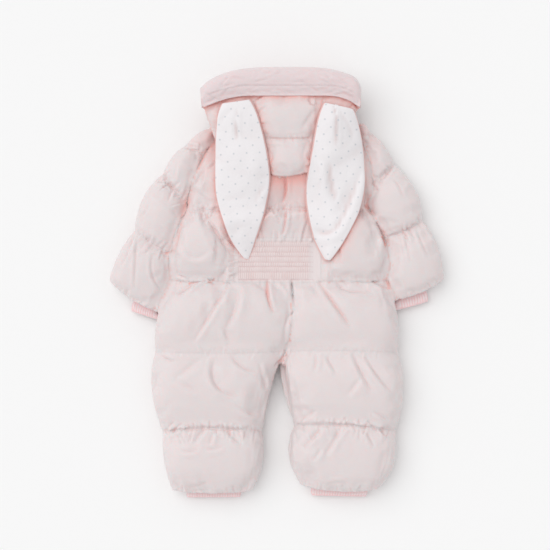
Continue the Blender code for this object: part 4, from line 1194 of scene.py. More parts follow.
def mark_folds(piece, gain=0.6, glow=0):
    """Stores how much salmon shade is painted at each point: how deep in a fold it lies, from how far its
    neighbours stand above it, with its nook and any painted shade handed in as glow added.
    """
    mesh = piece.data
    points, normals = points_of(piece), normals_of(piece)
    edges = values_of(mesh.edges, "vertices", 2)
    count = np.bincount(edges.ravel(), minlength=len(points))[:, None]

    def around(values):
        total = np.zeros_like(values)
        np.add.at(total, edges[:, 0], values[edges[:, 1]])
        np.add.at(total, edges[:, 1], values[edges[:, 0]])
        return total / np.maximum(count, 1)

    low = ((around(around(points)) - points) * normals).sum(axis=1, keepdims=True) / MM
    low = (low + around(low)) / 2
    # painted shade: fold depth, plus the painted shade handed in as glow
    fold = gain * np.maximum(low[:, 0], 0) ** FOLD_POWER + glow
    if "nook" in mesh.attributes:
        nook = values_of(mesh.attributes["nook"].data, "value")
        # painted shade: the more of a point's outlook is closed, the more salmon is painted in
        fold += NOOK_PAINTED_SHADE * np.clip((nook - NOOK_OPEN) / (1 - NOOK_OPEN), 0, 1) ** NOOK_POWER
        mesh.attributes.remove(mesh.attributes["nook"])
    store(piece, "fold", np.clip(fold, 0, 1))


def finish_piece(piece, finish, slot, *stands_for):
    """Material, smooth shading and the links to the frame."""
    piece.data.materials.clear()
    piece.data.materials.append(FINISH[finish.name])
    make_active(piece)
    bpy.ops.object.shade_smooth()
    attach(piece, "root")
    if stands_for:
        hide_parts(*stands_for)


# %% [markdown]
# Below the pink edge of the hood or an ear, the cloth is lit only by light thrown from that pink cloth, so
# it lies in warm shade, strong close by and fading away. That shade is painted into its colour. It is
# measured from the solids of those edges. The table gives how strong each edge's painted shade is, and over
# how many millimetres it fades.

# %% Painted warm shade beside the edges
EDGE_PAINTED_SHADE = {
    "hood_crown": (1.5, 18.0), "hood_side_left": (1.5, 18.0), "hood_side_right": (1.5, 18.0),
    "ear_left_shell": (0.95, 6.0), "ear_right_shell": (0.95, 6.0), "hood_brim": (1.4, 6.0),
}
PAINTED_FROM_Y = 30 * MM
PAINTED_WITHIN = 50 * MM
BODICE_TOP_Z = SIDE_SEAM_Z + 8 * MM
# painted shade on the hood's steep walls, and on the sleeves beside the hood
HOOD_WALL_PAINTED_SHADE = 0.45
SLEEVE_PAINTED_SHADE = 0.5


def painted_shade_below_edges(piece, casters, low):
    """Painted warm shade that an edge hanging over a piece leaves below it, strong near and fading away."""
    trees = [(*EDGE_PAINTED_SHADE[name], tree_of([solids[name]])) for name in casters]
    glow = np.zeros(len(piece.data.vertices))
    for index, point in enumerate(points_of(piece).tolist()):
        if point[1] < PAINTED_FROM_Y or point[2] < low:
            continue
        for strength, reach, tree in trees:
            distance = tree.find_nearest(point, PAINTED_WITHIN)[3]
            if distance is not None:
                glow[index] = max(glow[index], strength * math.exp(-distance / MM / reach))
    return glow


def steepness(piece):
    """1 on the sides and the underside of a piece, and 0 where it faces up."""
    return smooth_step((0.75 - normals_of(piece)[:, 2]) / 0.6)


def painted_shade_on(node, piece):
    """Painted shade: the back below the hood and the ears, the hood below its own brim and ears and on its
    steep walls, and the sleeves beside the hood.
    """
    if node == "back_bodice":
        return painted_shade_below_edges(piece, [name for name in EDGE_PAINTED_SHADE if name != "hood_brim"], BODICE_TOP_Z)
    if node in HOOD_PANELS:
        casters = ["hood_brim", "ear_left_shell", "ear_right_shell"]
        return painted_shade_below_edges(piece, casters, HOOD_BASE_Z) + HOOD_WALL_PAINTED_SHADE * steepness(piece)
    if node.startswith("sleeve"):
        return SLEEVE_PAINTED_SHADE * painted_shade_below_edges(piece, ["hood_side_left", "hood_side_right"], SIDE_SEAM_Z)
    return 0


# %% [markdown]
# Now each panel is dressed in the order in which a real one takes its shape: the puffs sag over the
# rows, the rows pucker, and the larger creases run across both. The legs' cloth is the loosest, so
# their creases are wider and deeper than the table says.

# %% Dress the panels
LEG_CREASE_WIDER = 1.35
SAG_SEED, PUCKER_SEED, RAY_SEED = 50, 100, 61

for panel in PANELS:
    piece = panels[panel.node]
    for number, seam in enumerate(SEAMS):
        if panel.node in seam.panels:
            if seam.overhang:
                overhang(piece, seam, SAG_SEED + number)
            press_all(piece, seam_puckers(seam, PUCKER_SEED + number))
    own = [crease for crease in CREASES if crease.name.startswith("crown") == (panel.node in HOOD_PANELS)]
    if panel.node in LEGS:
        own = [crease._replace(half_width=crease.half_width * LEG_CREASE_WIDER,
                               depth=crease.depth * LEG_CREASE_WIDER) for crease in own]
    warmth = press_all(piece, own)
    if panel.node == "back_bodice":
        press_all(piece, gather_rays(RAY_SEED))
    # painted shade below the edges and in the deep creases is added to the fold shade
    mark_folds(piece, glow=painted_shade_on(panel.node, piece) + warmth)
    finish_piece(piece, SHELL, "pale_pink_shell", panel.node)
    print(panel.node, len(piece.data.polygons), "faces")

# %% [markdown]
# ## Under-panels
# The front of the suit lies underneath, and only its sides are seen. These panels are pressed flat by
# the weight on them, so they are smoothed and creased but not blown up. Where a row of stitching comes
# round the side, the wall draws in and puckers. The hood's hidden layers lie in one body, and its edge
# shows them: a wavering groove runs between each two layers.

# %% Under-panels
UNDER_PANELS = ("front_left", "front_right", "sleeve_left_front", "sleeve_right_front", "hood_fold")
UNDER_VOXEL, FOLD_VOXEL, UNDER_ROUNDS = 5.5, 4.0, 2
FLOOR_Z = 0.0
ROW_END_REACH = 13.0  # millimetres along the wall from the end of a row of stitching
ROW_INSET, ROW_PUCKER, WALL_DENT = 1.4, 1.5, 0.7
LAYER_GROOVES = (15.5, 31.0)
GROOVE_DEEP, GROOVE_WIDE = 6.0, 2.0
WALL_SEED, LAYER_SEED = 850, 900


def keep_off_floor(piece):
    points = points_of(piece)
    points[:, 2] = np.maximum(points[:, 2], FLOOR_Z)
    put_points(piece, points)


def draw_in_rows(piece, seed):
    """Draws the side walls in round the ends of the rows of stitching, with small upright puckers."""
    points, normals = points_of(piece), normals_of(piece)
    x, y, z = (points / MM).T
    ends = np.array([end for seam in SEAMS for end in ((seam.x0, seam.y0), (seam.x1, seam.y1))])
    away = np.hypot(x[:, None] - ends[:, 0], y[:, None] - ends[:, 1]).min(axis=1)
    near_row = np.exp(-((away / ROW_END_REACH) ** 2))
    puckers = wander(x + y + 0.2 * z, 5.0, seed) + 0.6 * wander(x - y, 8.0, seed + 1)
    dents = wander(x + y, 30.0, seed + 2) + 0.5 * wander(x - y + z, 16.0, seed + 3)
    inset = near_row * (ROW_INSET + ROW_PUCKER * puckers) + WALL_DENT * dents
    middle = np.clip(z / 4, 0, 1)
    points[:, :2] -= normals[:, :2] * (inset * middle * MM)[:, None]
    put_points(piece, points)


def layer_edge(piece, seed):
    """Grooves between folded layers, with soft dents in each layer."""
    points, normals = points_of(piece), normals_of(piece)
    x, y, z = (points / MM).T
    around = x + 0.7 * y
    inset = 1.1 * wander(around + 0.8 * z, 19.0, seed) + 0.7 * wander(around - 1.5 * z, 9.0, seed + 1)
    for number, height in enumerate(LAYER_GROOVES):
        long_waver = 1.7 * wander(around, 42.0, seed + 10 + number)
        short_waver = 0.7 * wander(around, 12.0, seed + 20 + number)
        inset += GROOVE_DEEP * np.exp(-(((z - (height + long_waver + short_waver)) / GROOVE_WIDE) ** 2))
    points[:, :2] -= normals[:, :2] * (inset * MM)[:, None]
    put_points(piece, points)


for number, node in enumerate(UNDER_PANELS):
    hood = node == "hood_fold"
    piece = remeshed(solid_copy(node, node + "_soft"), FOLD_VOXEL if hood else UNDER_VOXEL, UNDER_ROUNDS)
    subdivide(piece)
    if hood:
        layer_edge(piece, LAYER_SEED)
    else:
        draw_in_rows(piece, WALL_SEED + 10 * number)
    keep_off_floor(piece)
    mark_folds(piece)
    finish_piece(piece, SHELL, "pale_pink_shell", node)
    print(node, len(piece.data.polygons), "faces")

# %% [markdown]
# ## Hood brim
# The edge of the hood is a wide band folded back on itself and stitched near its fold. It is a flat,
# firm band, so the solid's two rolls are relaxed into one low crown, and the stitch line is pressed
# back in as a shallow trough with small wrinkles along it. Its lower edge is drawn down over the hood.

# %% Brim
BRIM_VOXEL, BRIM_RELAX_ROUNDS = 3.0, 60
BRIM_LEVEL = 280.0
BRIM_LEFT_TURN, BRIM_RIGHT_TURN = -40.0, 69.0
BRIM_LEFT_END, BRIM_RIGHT_END = -100, 112
BRIM_HEM = 12.4  # millimetres from the band's lower edge to its row of stitching
BRIM_WRINKLES, BRIM_SEED = 60, 31
LIP_DIP = 0.8 * MM
LIP_DOWN, LIP_IN = 2.6 * MM, 1.4 * MM
# painted shade: the steep lower edge of the band is painted salmon
LIP_PAINTED_SHADE, LIP_SHADE_BELOW = 0.6, 8.0


def brim_edge_y(x):
    """The lower edge of the band: level in the middle, drooping at both ends."""
    left = 16.0 * (np.maximum(BRIM_LEFT_TURN - x, 0) / 66.0) ** 1.7
    right = 17.5 * (np.maximum(x - BRIM_RIGHT_TURN, 0) / 54.0) ** 2.5
    return BRIM_LEVEL - left - right


def above_brim_edge(piece):
    """How far each point lies above the band's lower edge, in millimetres."""
    x, y, _ = (points_of(piece) / MM).T
    return y - brim_edge_y(x)


def brim_creases(seed):
    """The hem's trough, and long shallow wrinkles that run along the band."""
    draw = np.random.default_rng(seed)
    for x in np.arange(BRIM_LEFT_END, BRIM_RIGHT_END, 12.0):
        ends = [x, x + 7, x + 14]
        heights = [brim_edge_y(place) + BRIM_HEM for place in ends]
        yield Crease("hem", *[value for pair in zip(ends, heights) for value in pair], 0.9, 1.0, 1)
    for _ in range(BRIM_WRINKLES):
        x = draw.uniform(BRIM_LEFT_END, BRIM_RIGHT_END)
        long = draw.uniform(4, 14)
        height = brim_edge_y(x) + draw.choice([draw.uniform(2, 9), draw.uniform(15, 40)])
        tilt = draw.normal(0.25 if x < 0 else -0.25, 0.5) * long
        middle = height + draw.normal(0, 1.0)
        yield Crease("wrinkle", x - long, height - tilt, x, middle, x + long, height + tilt,
                     draw.uniform(0.5, 1.2), draw.uniform(1.1, 2.0), draw.choice([-1, 1]))


def lip_over_hood(piece):
    """Draws the band's lower edge down over the hood by a few millimetres."""
    points = points_of(piece)
    weight = smooth_step((9 - above_brim_edge(piece)) / 7) * smooth_step((points[:, 2] / MM - 56) / 6)
    points[:, 1] -= LIP_DOWN * weight
    points[:, 2] -= LIP_IN * weight
    put_points(piece, points)


brim = remeshed(solid_copy("hood_brim", "hood_brim_band"), BRIM_VOXEL, UNDER_ROUNDS)
smooth_out(brim, BRIM_RELAX_ROUNDS, use_x=False, use_y=False)
subdivide(brim)
across = above_brim_edge(brim)
flat = tops_of([brim], [np.zeros(len(across))])
raise_edges(brim, smooth_step((16 - across) / 6), np.full(len(across), LIP_DIP), flat)
lip_over_hood(brim)
press_all(brim, brim_creases(BRIM_SEED))
# salmon shade is painted on the steep lower edge, as well as in the folds
mark_folds(brim, glow=LIP_PAINTED_SHADE * steepness(brim) * (above_brim_edge(brim) < LIP_SHADE_BELOW))
finish_piece(brim, BRIM_SHELL, "pale_pink_shell", "hood_brim")
print("brim", len(brim.data.polygons), "faces")

# %% [markdown]
# ## Dotted cotton
# The ears' faces are cotton, printed with small grey dots in staggered rows. The print has its own
# coordinates on each ear, which turn with the ear, so it stays on the cloth. The dots are two even
# lattices, half a step apart, and a place is inked where the nearer lattice point is close.

# %% Dotted cotton
DOT_ACROSS, DOT_ALONG = 19.2 * MM, 22.0 * MM
DOT_RADIUS = 1.4 * MM
DOT_SOFT_OUT, DOT_SOFT_IN = 1.4, 0.5  # in radii: no ink outside the first, full ink inside the second
DOT_GREY = (0.66, 0.67, 0.70)


def add_dots(made, colour):
    """Mixes grey dots into the base colour, on two lattices half a step apart."""
    tree = made.node_tree
    shader = tree.nodes["Principled BSDF"]
    plain = shader.inputs["Base Color"].links[0].from_socket
    place = tree.nodes.new("ShaderNodeAttribute")
    place.attribute_name = "print"
    smaller = new_node(tree, "ShaderNodeMath", "MINIMUM")
    for lattice, shift in enumerate((0.0, 0.5)):
        moved = tree.nodes.new("ShaderNodeVectorMath")
        moved.inputs[1].default_value = (shift * DOT_ACROSS, shift * DOT_ALONG, 0)
        wrapped = new_node(tree, "ShaderNodeVectorMath", "WRAP")
        wrapped.inputs[1].default_value = (DOT_ACROSS / 2, DOT_ALONG / 2, 1)
        wrapped.inputs[2].default_value = (-DOT_ACROSS / 2, -DOT_ALONG / 2, -1)
        length = new_node(tree, "ShaderNodeVectorMath", "LENGTH")
        link(tree, place.outputs["Vector"], moved.inputs[0])
        link(tree, moved.outputs["Vector"], wrapped.inputs[0])
        link(tree, wrapped.outputs["Vector"], length.inputs[0])
        link(tree, length.outputs["Value"], smaller.inputs[lattice])
    ink = new_node(tree, "ShaderNodeMapRange",
                   From_Min=DOT_RADIUS * DOT_SOFT_OUT, From_Max=DOT_RADIUS * DOT_SOFT_IN)
    link(tree, smaller.outputs[0], ink.inputs["Value"])
    mix = tree.nodes.new("ShaderNodeMix")
    mix.data_type = "RGBA"
    mix.inputs[MIX_SECOND].default_value = (*colour, 1)
    link(tree, ink.outputs[0], mix.inputs[MIX_FACTOR])
    link(tree, plain, mix.inputs[MIX_FIRST])
    link(tree, mix.outputs[MIX_RESULT], shader.inputs["Base Color"])


def lay_print(piece, root, tip):
    """Stores flat coordinates for the print, with y along the ear and x across it."""
    axis = (Vector(tip) - Vector(root)).normalized()
    plan = points_of(piece)[:, :2] - np.array(root)
    flat = np.zeros((len(plan), 3))
    flat[:, 0] = plan @ np.array((axis.y, -axis.x))
    flat[:, 1] = plan @ np.array((axis.x, axis.y))
    store(piece, "print", flat.ravel(), "FLOAT_VECTOR", "vector")


add_dots(FINISH[COTTON.name], DOT_GREY)
print("dots every", DOT_ACROSS / MM, "by", DOT_ALONG / MM, "mm")

# %% [markdown]
# ## Ears
# Each ear is two layers, a white cotton face and a pink shell, turned out and pressed. They lie where
# gravity left them: over the hood and down the shoulders. The gap below each place is measured, and
# the ear is let down by that, but softly, so that it bridges the valleys as stiff cotton does. Both
# layers take the same move, waves and creases, so they never cut through each other.

# %% Ears
Ear = namedtuple("Ear", "side root tip cut cut_area")
EARS = [
    Ear("left", (-0.058, 0.269), (-0.045, 0.036), (0.085, 0.245), 0.0153),
    Ear("right", (0.092, 0.263), (0.0755, 0.033), (0.088, 0.245), 0.0164),
]
EAR_CREASES = [
    Crease("left tuck", -58, 258, -59.5, 232, -59, 205, 3.6, 1.5, 1),
    Crease("left, inner edge", -15, 146, -25, 134, -30, 118, 2.2, 2.8, 1),
    Crease("left, across", -78, 126, -60, 127, -40, 130, 1.4, 5.0, 1),
    Crease("left, low", -64, 88, -50, 86, -36, 88, 1.4, 4.4, 1),
    Crease("left, top corner", -84, 232, -76, 248, -62, 256, 1.8, 3.2, 1),
    Crease("left, soft", -50, 200, -44, 180, -48, 160, 1.6, 6.5, 1),
    Crease("right tuck", 82, 266, 88, 240, 86, 196, 4.6, 1.6, 1),
    Crease("right, valley", 78, 184, 81, 146, 90, 118, 4.4, 4.4, -1),
    Crease("right, crescent", 126, 172, 104, 112, 86, 82, 4.6, 4.0, 1),
    Crease("right, crescent foot", 96, 94, 78, 76, 58, 80, 4.2, 4.0, 1),
    Crease("right, beside the crescent", 110, 156, 98, 120, 84, 98, 2.6, 4.0, -1),
    Crease("right, top", 90, 252, 104, 238, 114, 210, 2.2, 4.0, -1),
    Crease("right, inner edge", 60, 178, 64, 160, 62, 138, 2.0, 3.2, 1),
]
DRAPE_WIDE = 13.0  # millimetres
DRAPE_MOST = 12 * MM
GAP_CARE = 2 * MM
EAR_REST = 1.2 * MM
SHELL_RIM, INNER_RIM = 1.0, 0.9  # millimetres of rim, and the share that the inner side has more
# painted shade: the shell's rim is painted salmon all over
SHELL_RIM_PAINTED_SHADE = 0.7
FLUTTER_SEED = 700


def flutter(piece, seed):
    """Soft waves of a few millimetres, as pressed cloth has after a day's wear."""
    points = points_of(piece)
    x, y = points[:, 0] / MM, points[:, 1] / MM
    wave = wander(x + 0.4 * y, 26, seed) * wander(y - 0.3 * x, 34, seed + 1)
    small = wander(x - 0.5 * y, 11, seed + 2) * wander(y + 0.2 * x, 13, seed + 3)
    points[:, 2] += (1.8 * wave + 0.9 * small) * MM
    put_points(piece, points)


def gaps_below(ear):
    """Places under an ear, in plan, and the height in metres of the gap that is left at each."""
    node = solids[f"ear_{ear.side}_shell"]
    bed = tree_of(list(panels.values()))
    points, normals = points_of(node), normals_of(node)
    places, gaps = [], []
    for x, y, z in points[normals[:, 2] < -0.2]:
        hit = bed.ray_cast((x, y, z + 0.02), (0, 0, -1))
        if hit[0] is not None:
            places.append((x, y))
            gaps.append(z - hit[0][2])
    return np.array(places), np.array(gaps)


def drape(piece, places, gaps):
    """Lets the ear down onto the highest places below it, by no more than its cloth gives."""
    points = points_of(piece)
    apart = np.linalg.norm(points[:, None, :2] - places[None], axis=2) / MM
    weights = np.exp(-((apart / DRAPE_WIDE) ** 2) - gaps / GAP_CARE) + 1e-12
    fall = (weights * gaps).sum(axis=1) / weights.sum(axis=1) - EAR_REST
    points[:, 2] -= DRAPE_MOST * np.tanh(fall / DRAPE_MOST)
    put_points(piece, points)


def widen(piece, grow_mm, inner):
    """Grows a flat piece sideways, more on its inner side, so that it shows as a rim of the face."""
    points, normals = points_of(piece), normals_of(piece)
    more = 1 + INNER_RIM * np.clip(normals[:, 0] * inner, 0, 1)
    points[:, :2] += normals[:, :2] * (grow_mm * MM * more)[:, None]
    put_points(piece, points)


def half_surface(piece):
    """The area in square metres of one side of a thin piece."""
    return sum(face.area for face in piece.data.polygons) / 2


for number, ear in enumerate(EARS):
    places, gaps = gaps_below(ear)
    lowest, highest = np.round(gaps.min() / MM, 1), np.round(gaps.max() / MM, 1)
    print("ear", ear.side, "hangs", lowest, "to", highest, "mm above")
    folds = [crease for crease in EAR_CREASES if crease.name.startswith(ear.side)]
    for part, finish, slot in (("face", COTTON, "white_cotton"), ("shell", THIN_SHELL, "pale_pink_shell")):
        node = f"ear_{ear.side}_{part}"
        piece = solid_copy(node, node + "_cloth", quads=True)
        subdivide(piece, 2)
        if part == "face":
            lay_print(piece, ear.root, ear.tip)
        else:
            widen(piece, SHELL_RIM, 1 if ear.side == "left" else -1)
        drape(piece, places, gaps)
        flutter(piece, FLUTTER_SEED + number * 10)
        press_all(piece, folds)
        # painted shade in the ears' folds, and salmon painted on the whole shell
        mark_folds(piece, gain=0.9, glow=SHELL_RIM_PAINTED_SHADE if part == "shell" else 0)
        finish_piece(piece, finish, slot, node)
        print(node, len(piece.data.polygons), "faces, half its surface", round(half_surface(piece), 5), "m2")

# %% [markdown]
# ## Gathered elastic
# Six channels of elastic thread are stitched across the back waist. The cloth between the rows stands
# up in low ridges, and each ridge is broken into fine uneven gathers. It is one thin sheet: a grid
# is laid over the bed that the solid leaves, its points are raised, and it is given a thickness.

# %% Relief of the elastic
STITCH_ROWS = (6.3, 17.4, 25.2, 32.1, 40.2, 47.1, 55.1)
LAST_CHANNEL = 9.0
RIDGE, RIDGE_POWER = 1.0, 0.7
GATHER, GATHER_PITCH = 0.55, 3.2
SWAY_SEED, SIZE_SEED, SHARED_SEED = 400, 420, 440


def elastic_relief(x, y):
    """Height in millimetres of the ridges between the rows, broken into small gathers, above the bed."""
    rows = np.array(STITCH_ROWS + (STITCH_ROWS[-1] + LAST_CHANNEL,))
    channel = np.clip(np.searchsorted(rows, y) - 1, 0, len(rows) - 2)
    share = np.clip((y - rows[channel]) / (rows[channel + 1] - rows[channel]), 0, 1)
    ridge = np.sin(np.pi * share) ** RIDGE_POWER
    gather = np.zeros_like(x)
    for number in range(len(rows) - 1):
        sway = 1.3 * wander(x, 9.0, SWAY_SEED + number) + 0.8 * (share - 0.5) * math.sin(2.1 * number)
        size = 0.75 + 0.35 * wander(x, 7.0, SIZE_SEED + number)
        own = size * np.cos(2 * np.pi * (x + sway) / GATHER_PITCH)
        gather = np.where(channel == number, own, gather)
    shared = wander(x + 0.05 * y, 12.0, SHARED_SEED)
    return RIDGE * ridge + (0.35 + 0.65 * ridge) * gather * GATHER + 0.6 * shared


# %% [markdown]
# The sheet has to follow the puffs round it and yet lie level between them. So the height of the cloth
# below is read at each point of the grid, evened out over about a finger's width, and used as the
# sheet's own base. Towards its edges the sheet sinks back onto the bed, so no rim shows.

# %% Elastic
LOWEST_BED = 20.0
EVENING_ROUNDS = 60
ELASTIC_MARGIN = 8.0
GATHERS_RIGHT = 54.0
ELASTIC_GRID = (200, 80)
ELASTIC_THICK = 0.8 * MM
# painted shade: a little salmon over the whole gathered part
GATHER_PAINTED_SHADE = 0.12


def bed_under(x, y):
    """Height in millimetres of the quilted cloth below each place."""
    tree = tree_of([panels[node] for node in ("back_bodice",) + LEGS])
    heights = np.full(len(x), LOWEST_BED)
    for index, (east, north) in enumerate(zip(x * MM, y * MM)):
        place, _ = drop_onto(tree, east, north)
        if place is not None:
            heights[index] = max(heights[index], place[2] / MM)
    return heights


def evened(heights, shape):
    """Smooths the heights of a grid over about a finger's width."""
    grid = heights.reshape(shape)
    for _ in range(EVENING_ROUNDS):
        for axis in (0, 1):
            wide = np.pad(grid, [(1, 1) if axis == side else (0, 0) for side in (0, 1)], mode="edge")
            grid = (wide.take(range(wide.shape[axis] - 2), axis) + 2 * grid
                    + wide.take(range(2, wide.shape[axis]), axis)) / 4
    return grid.ravel()


deselect_all()
left, right = ELASTIC_LEFT - ELASTIC_MARGIN, ELASTIC_RIGHT + ELASTIC_MARGIN
bottom, top = STITCH_ROWS[0] - 4.0, ELASTIC_TOP + ELASTIC_MARGIN
bpy.ops.mesh.primitive_grid_add(x_subdivisions=ELASTIC_GRID[0], y_subdivisions=ELASTIC_GRID[1], size=1)
elastic = bpy.context.object
elastic.name = "waist_elastic_gathers"
elastic.scale = ((right - left) * MM, (top - bottom) * MM, 1)
elastic.location = ((left + right) / 2 * MM, (bottom + top) / 2 * MM, 0)
bpy.ops.object.transform_apply(location=True, rotation=True, scale=True)
points = points_of(elastic)
x, y = points[:, 0] / MM, points[:, 1] / MM
bed = bed_under(x, y) + 0.2
base = evened(np.maximum(bed, ELASTIC_HEIGHT + 0.8), (ELASTIC_GRID[1] + 1, ELASTIC_GRID[0] + 1))
sides = smooth_step((np.minimum(x - left, GATHERS_RIGHT - x) - 1) / ELASTIC_MARGIN)
ends = smooth_step((y - bottom - 1) / 4) * smooth_step((top - y - 1) / ELASTIC_MARGIN)
margin = smooth_step((np.minimum(x - left, right - x) - 1) / ELASTIC_MARGIN) * ends
height = bed + (base - bed) * margin + elastic_relief(x, y) * sides * ends
points[:, 2] = np.maximum(bed, height) * MM
put_points(elastic, points)
apply(elastic, "SOLIDIFY", thickness=ELASTIC_THICK, offset=-1)
# painted shade: the sheet's nooks, the folds of its gathers, and the gathered part
measure_nooks(elastic, search_tree(solids, skip="waist_elastic"))
painted_gather_shade = np.concatenate([GATHER_PAINTED_SHADE * sides * ends] * 2)
mark_folds(elastic, gain=2.0, glow=painted_gather_shade)
finish_piece(elastic, THIN_SHELL, "pale_pink_shell", "waist_elastic")
print("elastic", len(elastic.data.polygons), "faces, one side", round(half_surface(elastic), 5), "m2")

# %% [markdown]
# ## Rib cuffs
# The cuffs are tubes of rib knit, pressed flat. Their ribs are already in the solid, as facets. A copy
# is subdivided, which rounds each rib, and the knit itself is fine enough to be a bump. Each cuff's
# inner end runs up under the hem that it is sewn into, and the wrist cuffs reach the legs beside them.

# %% Cuffs
CUFFS = ("wrist_cuff_left", "wrist_cuff_right", "ankle_cuff_left", "ankle_cuff_right")
CUFF_ROUNDS = 5
TUCK_REACH, TUCK_DEEP = 5 * MM, 6 * MM
CUFF_LONGER = {  # direction in plan from the outer end, and the share that the cuff grows by
    "wrist_cuff_left": (0.93, -0.36, 0.08), "wrist_cuff_right": (-0.93, -0.36, 0.09),
}


def lengthen(piece, east, north, share):
    """Draws the inner end of a cuff out, so that it reaches the leg beside it."""
    points = points_of(piece)
    axis = np.array([east, north])
    along = points[:, :2] @ axis
    points[:, :2] += (along - along.min())[:, None] * axis * share
    put_points(piece, points)


def tuck_under(piece, tree):
    """Runs the inner end of a cuff up under the hem that it is sewn into."""
    points = points_of(piece)
    for index, point in enumerate(points.tolist()):
        hit = tree.find_nearest(point, TUCK_REACH)
        if hit[0] is not None:
            inwards = -np.array(hit[1]) * (1, 1, 0)
            points[index] += inwards * (hit[3] + TUCK_DEEP * (1 - hit[3] / TUCK_REACH))
    put_points(piece, points)


all_solids = search_tree(solids)
sewn_to = ("sleeve", "back_leg", "front_l", "front_r")
hems = search_tree([node for node in solids if node.startswith(sewn_to)])
for node in CUFFS:
    piece = solid_copy(node, node + "_rib", quads=True)
    subdivide(piece, 2)
    smooth_out(piece, CUFF_ROUNDS)
    if node in CUFF_LONGER:
        lengthen(piece, *CUFF_LONGER[node])
    tuck_under(piece, hems)
    # painted shade: salmon where the cuff runs under the hem, and lightly in its rib valleys
    measure_nooks(piece, all_solids)
    mark_folds(piece, gain=0.25)
    finish_piece(piece, RIB, "pink_rib_knit", node)
    print(node, len(piece.data.polygons), "faces")

# %% [markdown]
# ## Front zip
# The zip runs up the front, so it lies underneath. Its tape is a flat woven strip, and its teeth are
# two rows of small moulded blocks that interlock, half a step apart. One tooth is modelled, an Array
# modifier repeats it down the tape, and a shifted copy makes the other row.

# %% Zip
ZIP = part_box("front_zip")
ZIP_MIDDLE = (ZIP[0][0] + ZIP[1][0]) / 2
ZIP_WIDE, ZIP_LONG = ZIP[1][0] - ZIP[0][0], ZIP[1][1] - ZIP[0][1]
TAPE_LOW, TAPE_THICK = 1.0 * MM, 1.2 * MM
TOOTH_PITCH = 2.6 * MM
TOOTH_SIZE = (2.6 * MM, 1.3 * MM, 1.2 * MM)
TOOTH_ASIDE, TOOTH_LIFT, TOOTH_EDGE = 0.9 * MM, 0.1 * MM, 0.25 * MM
TEETH_START, TEETH_SHORTER = 2 * MM, 5 * MM

tape = solid_copy("front_zip", "front_zip_tape")
subdivide(tape)
points = points_of(tape)
low, high = points[:, 2].min(), points[:, 2].max()
points[:, 2] = TAPE_LOW + (points[:, 2] - low) / (high - low) * TAPE_THICK
put_points(tape, points)
mark_folds(tape)
finish_piece(tape, TAPE, "pink_zip_tape", "front_zip")


def tooth_row(side):
    """One row of teeth, whose inner ends reach just past the middle."""
    deselect_all()
    start = ZIP[0][1] + TEETH_START + (0.5 * TOOTH_PITCH if side > 0 else 0)
    place = (ZIP_MIDDLE + side * TOOTH_ASIDE, start, TOOTH_SIZE[2] / 2 + TOOTH_LIFT)
    bpy.ops.mesh.primitive_cube_add(size=1, location=place)
    row = bpy.context.object
    row.scale = TOOTH_SIZE
    bpy.ops.object.transform_apply(location=True, rotation=True, scale=True)
    apply(row, "BEVEL", width=TOOTH_EDGE, segments=1)
    apply(row, "ARRAY", use_relative_offset=False, use_constant_offset=True,
          constant_offset_displace=(0, TOOTH_PITCH, 0), count=int((ZIP_LONG - TEETH_SHORTER) / TOOTH_PITCH))
    return row


def join(pieces, name):
    deselect_all()
    for piece in pieces:
        piece.select_set(True)
    bpy.context.view_layer.objects.active = pieces[0]
    bpy.ops.object.join()
    joined = bpy.context.object
    joined.name = joined.data.name = name
    return joined


teeth = join([tooth_row(side) for side in (-1, 1)], "front_zip_teeth")
mark_folds(teeth, gain=0.0)
finish_piece(teeth, TEETH, "pink_zip_tape", "front_zip")
print("zip teeth", len(teeth.data.polygons), "faces")

# %% [markdown]
# ## Stitches
# Thread shows as short rounded dashes that sit in the troughs. One dash is modelled as a capsule of a
# few faces, and it is copied along each row, dropped onto the cloth from above and turned to lie in it.

# %% Stitches
STITCH_LONG, STITCH_PITCH, STITCH_THICK = 2.6 * MM, 3.8 * MM, 0.55 * MM
STITCH_SUNK = 0.15  # the middle of a stitch stands this share of its thickness above the cloth
SMOCK_STITCH_PITCH = 3.2 * MM


def one_stitch():
    """A short capsule along X, made from a cylinder with its ends drawn in."""
    deselect_all()
    bpy.ops.mesh.primitive_cylinder_add(vertices=6, radius=STITCH_THICK / 2, depth=STITCH_LONG * 0.8,
                                        end_fill_type="TRIFAN", rotation=(0, math.pi / 2, 0))
    stitch = bpy.context.object
    bpy.ops.object.transform_apply(location=True, rotation=True, scale=True)
    points = points_of(stitch)
    hubs = np.hypot(points[:, 1], points[:, 2]) < 1e-6
    points[hubs, 0] = np.sign(points[hubs, 0]) * STITCH_LONG / 2
    put_points(stitch, points)
    return stitch


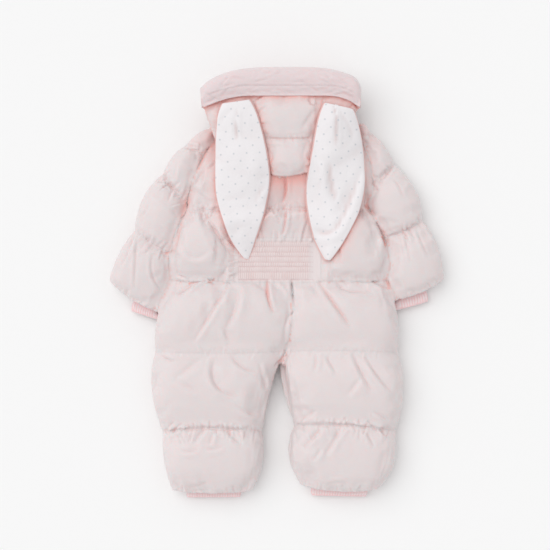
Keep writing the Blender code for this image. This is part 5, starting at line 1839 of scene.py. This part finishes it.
def sew_rows(name, rows, pitch, on, finish, slot):
    """Copies a stitch along each row, a list of places in plan, laid on the cloth below it."""
    pattern = one_stitch()
    shape = points_of(pattern)
    loops = [list(face.vertices) for face in pattern.data.polygons]
    bpy.data.objects.remove(pattern)
    ground = tree_of(on)
    corners, faces = [], []
    for row in rows:
        reach = np.concatenate([[0], np.cumsum(np.linalg.norm(np.diff(row, axis=0), axis=1))])
        for place in np.arange(pitch / 2, reach[-1], pitch):
            x, y = (np.interp(place, reach, row[:, axis]) for axis in (0, 1))
            ahead_x, ahead_y = (np.interp(place + pitch / 4, reach, row[:, axis]) for axis in (0, 1))
            landed, normal = drop_onto(ground, x, y)
            if landed is None:
                continue
            along = Vector((ahead_x - x, ahead_y - y, 0))
            along = (along - normal * along.dot(normal)).normalized()
            turned = np.array([along, normal.cross(along), normal])
            middle = np.array(landed + normal * STITCH_THICK * STITCH_SUNK)
            shift = len(corners)
            corners.extend((middle + shape @ turned).tolist())
            faces.extend([[shift + index for index in loop] for loop in loops])
    mesh = bpy.data.meshes.new(name)
    mesh.from_pydata(corners, [], faces)
    piece = bpy.data.objects.new(name, mesh)
    scene.collection.objects.link(piece)
    mark_folds(piece, gain=0.0)
    finish_piece(piece, finish, slot)
    print(name, len(faces), "faces")


def row_of(seam):
    """The line of a seam in metres, in plan."""
    start, along, down, length = seam_axes(seam)
    t = np.linspace(0.02, 0.98, 25)[:, None]
    return (start + along * length * t + down * dip_of(seam, t)) * MM


quilted = [row_of(seam) for seam in SEAMS if seam.name != "waist"]
sew_rows("quilting_stitches", quilted, STITCH_PITCH, list(panels.values()), SHELL, "pale_pink_shell")
hem = np.array([(x * MM, (brim_edge_y(x) + BRIM_HEM) * MM) for x in np.arange(BRIM_LEFT_END, 116.0, 4.0)])
sew_rows("brim_hem_stitches", [hem], STITCH_PITCH, [brim], BRIM_SHELL, "pale_pink_shell")
smocking = [np.array([(x * MM, y * MM) for x in (ELASTIC_LEFT - 2, GATHERS_RIGHT)]) for y in STITCH_ROWS]
sew_rows("smocking_stitches", smocking, SMOCK_STITCH_PITCH, [elastic], ELASTIC_THREAD, "pale_pink_shell")
